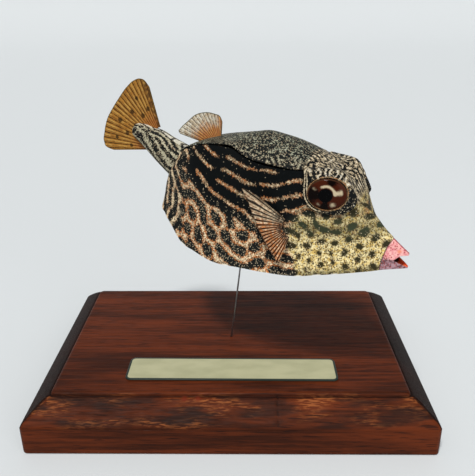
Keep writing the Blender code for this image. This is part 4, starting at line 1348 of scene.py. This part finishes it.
def make_camera():
    """The photo's camera, solved from the plaque's corners."""
    data = bpy.data.cameras.new("camera")
    data.sensor_width = SENSOR
    data.lens = CAMERA_FOCUS * SENSOR / max(IMAGE_SIZE)
    data.clip_start = 0.01
    data.clip_end = 20
    forward = Vector((math.sin(CAMERA_YAW) * math.cos(CAMERA_TILT),
                      math.cos(CAMERA_YAW) * math.cos(CAMERA_TILT), -math.sin(CAMERA_TILT)))
    level = Vector((math.cos(CAMERA_YAW), -math.sin(CAMERA_YAW), 0))
    down = forward.cross(level)
    right = level * math.cos(CAMERA_ROLL) + down * math.sin(CAMERA_ROLL)
    below = -level * math.sin(CAMERA_ROLL) + down * math.cos(CAMERA_ROLL)
    turn = Matrix((right, -below, -forward)).transposed().to_4x4()
    camera = linked("camera", data)
    camera.matrix_world = Matrix.Translation(Vector(CAMERA_PLACE) * MM) @ turn
    bpy.context.scene.camera = camera


def make_floor():
    """A pale floor that rises into a backdrop behind, in metres."""
    turns = np.linspace(0, math.pi / 2, 25)
    sweep = [(-4.0, 0.0)] + [(2.0 + 2.0 * math.sin(turn), 2.0 - 2.0 * math.cos(turn)) for turn in turns]
    sweep.append((4.0, 6.0))
    points = [(side, y, z) for y, z in sweep for side in (-6.0, 6.0)]
    faces = [(2 * i, 2 * i + 1, 2 * i + 3, 2 * i + 2) for i in range(len(sweep) - 1)]
    mesh = bpy.data.meshes.new("floor")
    mesh.from_pydata(points, [], faces)
    mesh.shade_smooth()
    floor = linked("floor", mesh)
    floor.location.z = -0.0001
    look = Look("floor", 0.8, 0.2)
    look.set("Base Color", paint(205, 209, 211))
    mesh.materials.append(look.material)


def make_lights():
    """A soft sky, a key light from the front and above and a weak fill light."""
    world = bpy.data.worlds.new("studio")
    world.use_nodes = True
    sky = world.node_tree.nodes["Background"]
    sky.inputs[0].default_value = (0.93, 0.96, 1.0, 1)
    sky.inputs[1].default_value = 0.33
    bpy.context.scene.world = world
    bpy.context.scene.view_settings.view_transform = "Standard"

    sun = bpy.data.lights.new("key", "SUN")
    sun.energy = 2.8
    sun.angle = math.radians(9)
    sun.color = (1, 0.985, 0.96)
    linked("key", sun).rotation_euler = Vector(KEY_FROM).to_track_quat("Z", "Y").to_euler()

    panel_light = bpy.data.lights.new("fill", "AREA")
    panel_light.shape = "RECTANGLE"
    panel_light.size = panel_light.size_y = 0.6
    panel_light.energy = 2.2
    fill = linked("fill", panel_light)
    fill.location = FILL_PLACE
    fill.rotation_euler = (Vector(FILL_TARGET) - Vector(FILL_PLACE)).to_track_quat("-Z", "Y").to_euler()


def make_fish():
    skin = printed_skin("printed_card")
    make_carapace(skin)
    make_head(skin)
    make_lid(skin)
    eye = eye_look()
    lip = lip_look()
    pleated = pectoral_look()
    for side, word in ((-1, "right"), (1, "left")):
        make_turret(side, "turret_" + word, skin)
        make_eye(side, "eye_" + word, eye)
        make_pectoral(side, "pectoral_fin_" + word, pleated)
    make_lip(True, "upper_lip", lip)
    make_lip(False, "lower_lip", lip)
    make_peduncle(skin)
    caudal = (CAUDAL_APEX, caudal_reach, CAUDAL_ANGLES, CAUDAL_ROOT, 12 * CAUDAL_RAYS, 70)
    make_flat_fin("caudal_fan", "caudal_fin", caudal, 0.3, CAUDAL_RAYS, caudal_look(),
                  CAUDAL_SPOTS)
    dorsal = (DORSAL_APEX, dorsal_reach, DORSAL_ANGLES, DORSAL_ROOT, 12 * DORSAL_RAYS, 46)
    make_flat_fin("dorsal_fan", "dorsal_fin", dorsal, 0.25, DORSAL_RAYS, dorsal_look())


def make_stand():
    make_base(wood_look())
    make_plate(plate_look())
    make_wire(wire_look())


make_camera()
make_stand()
make_fish()
make_floor()
make_lights()
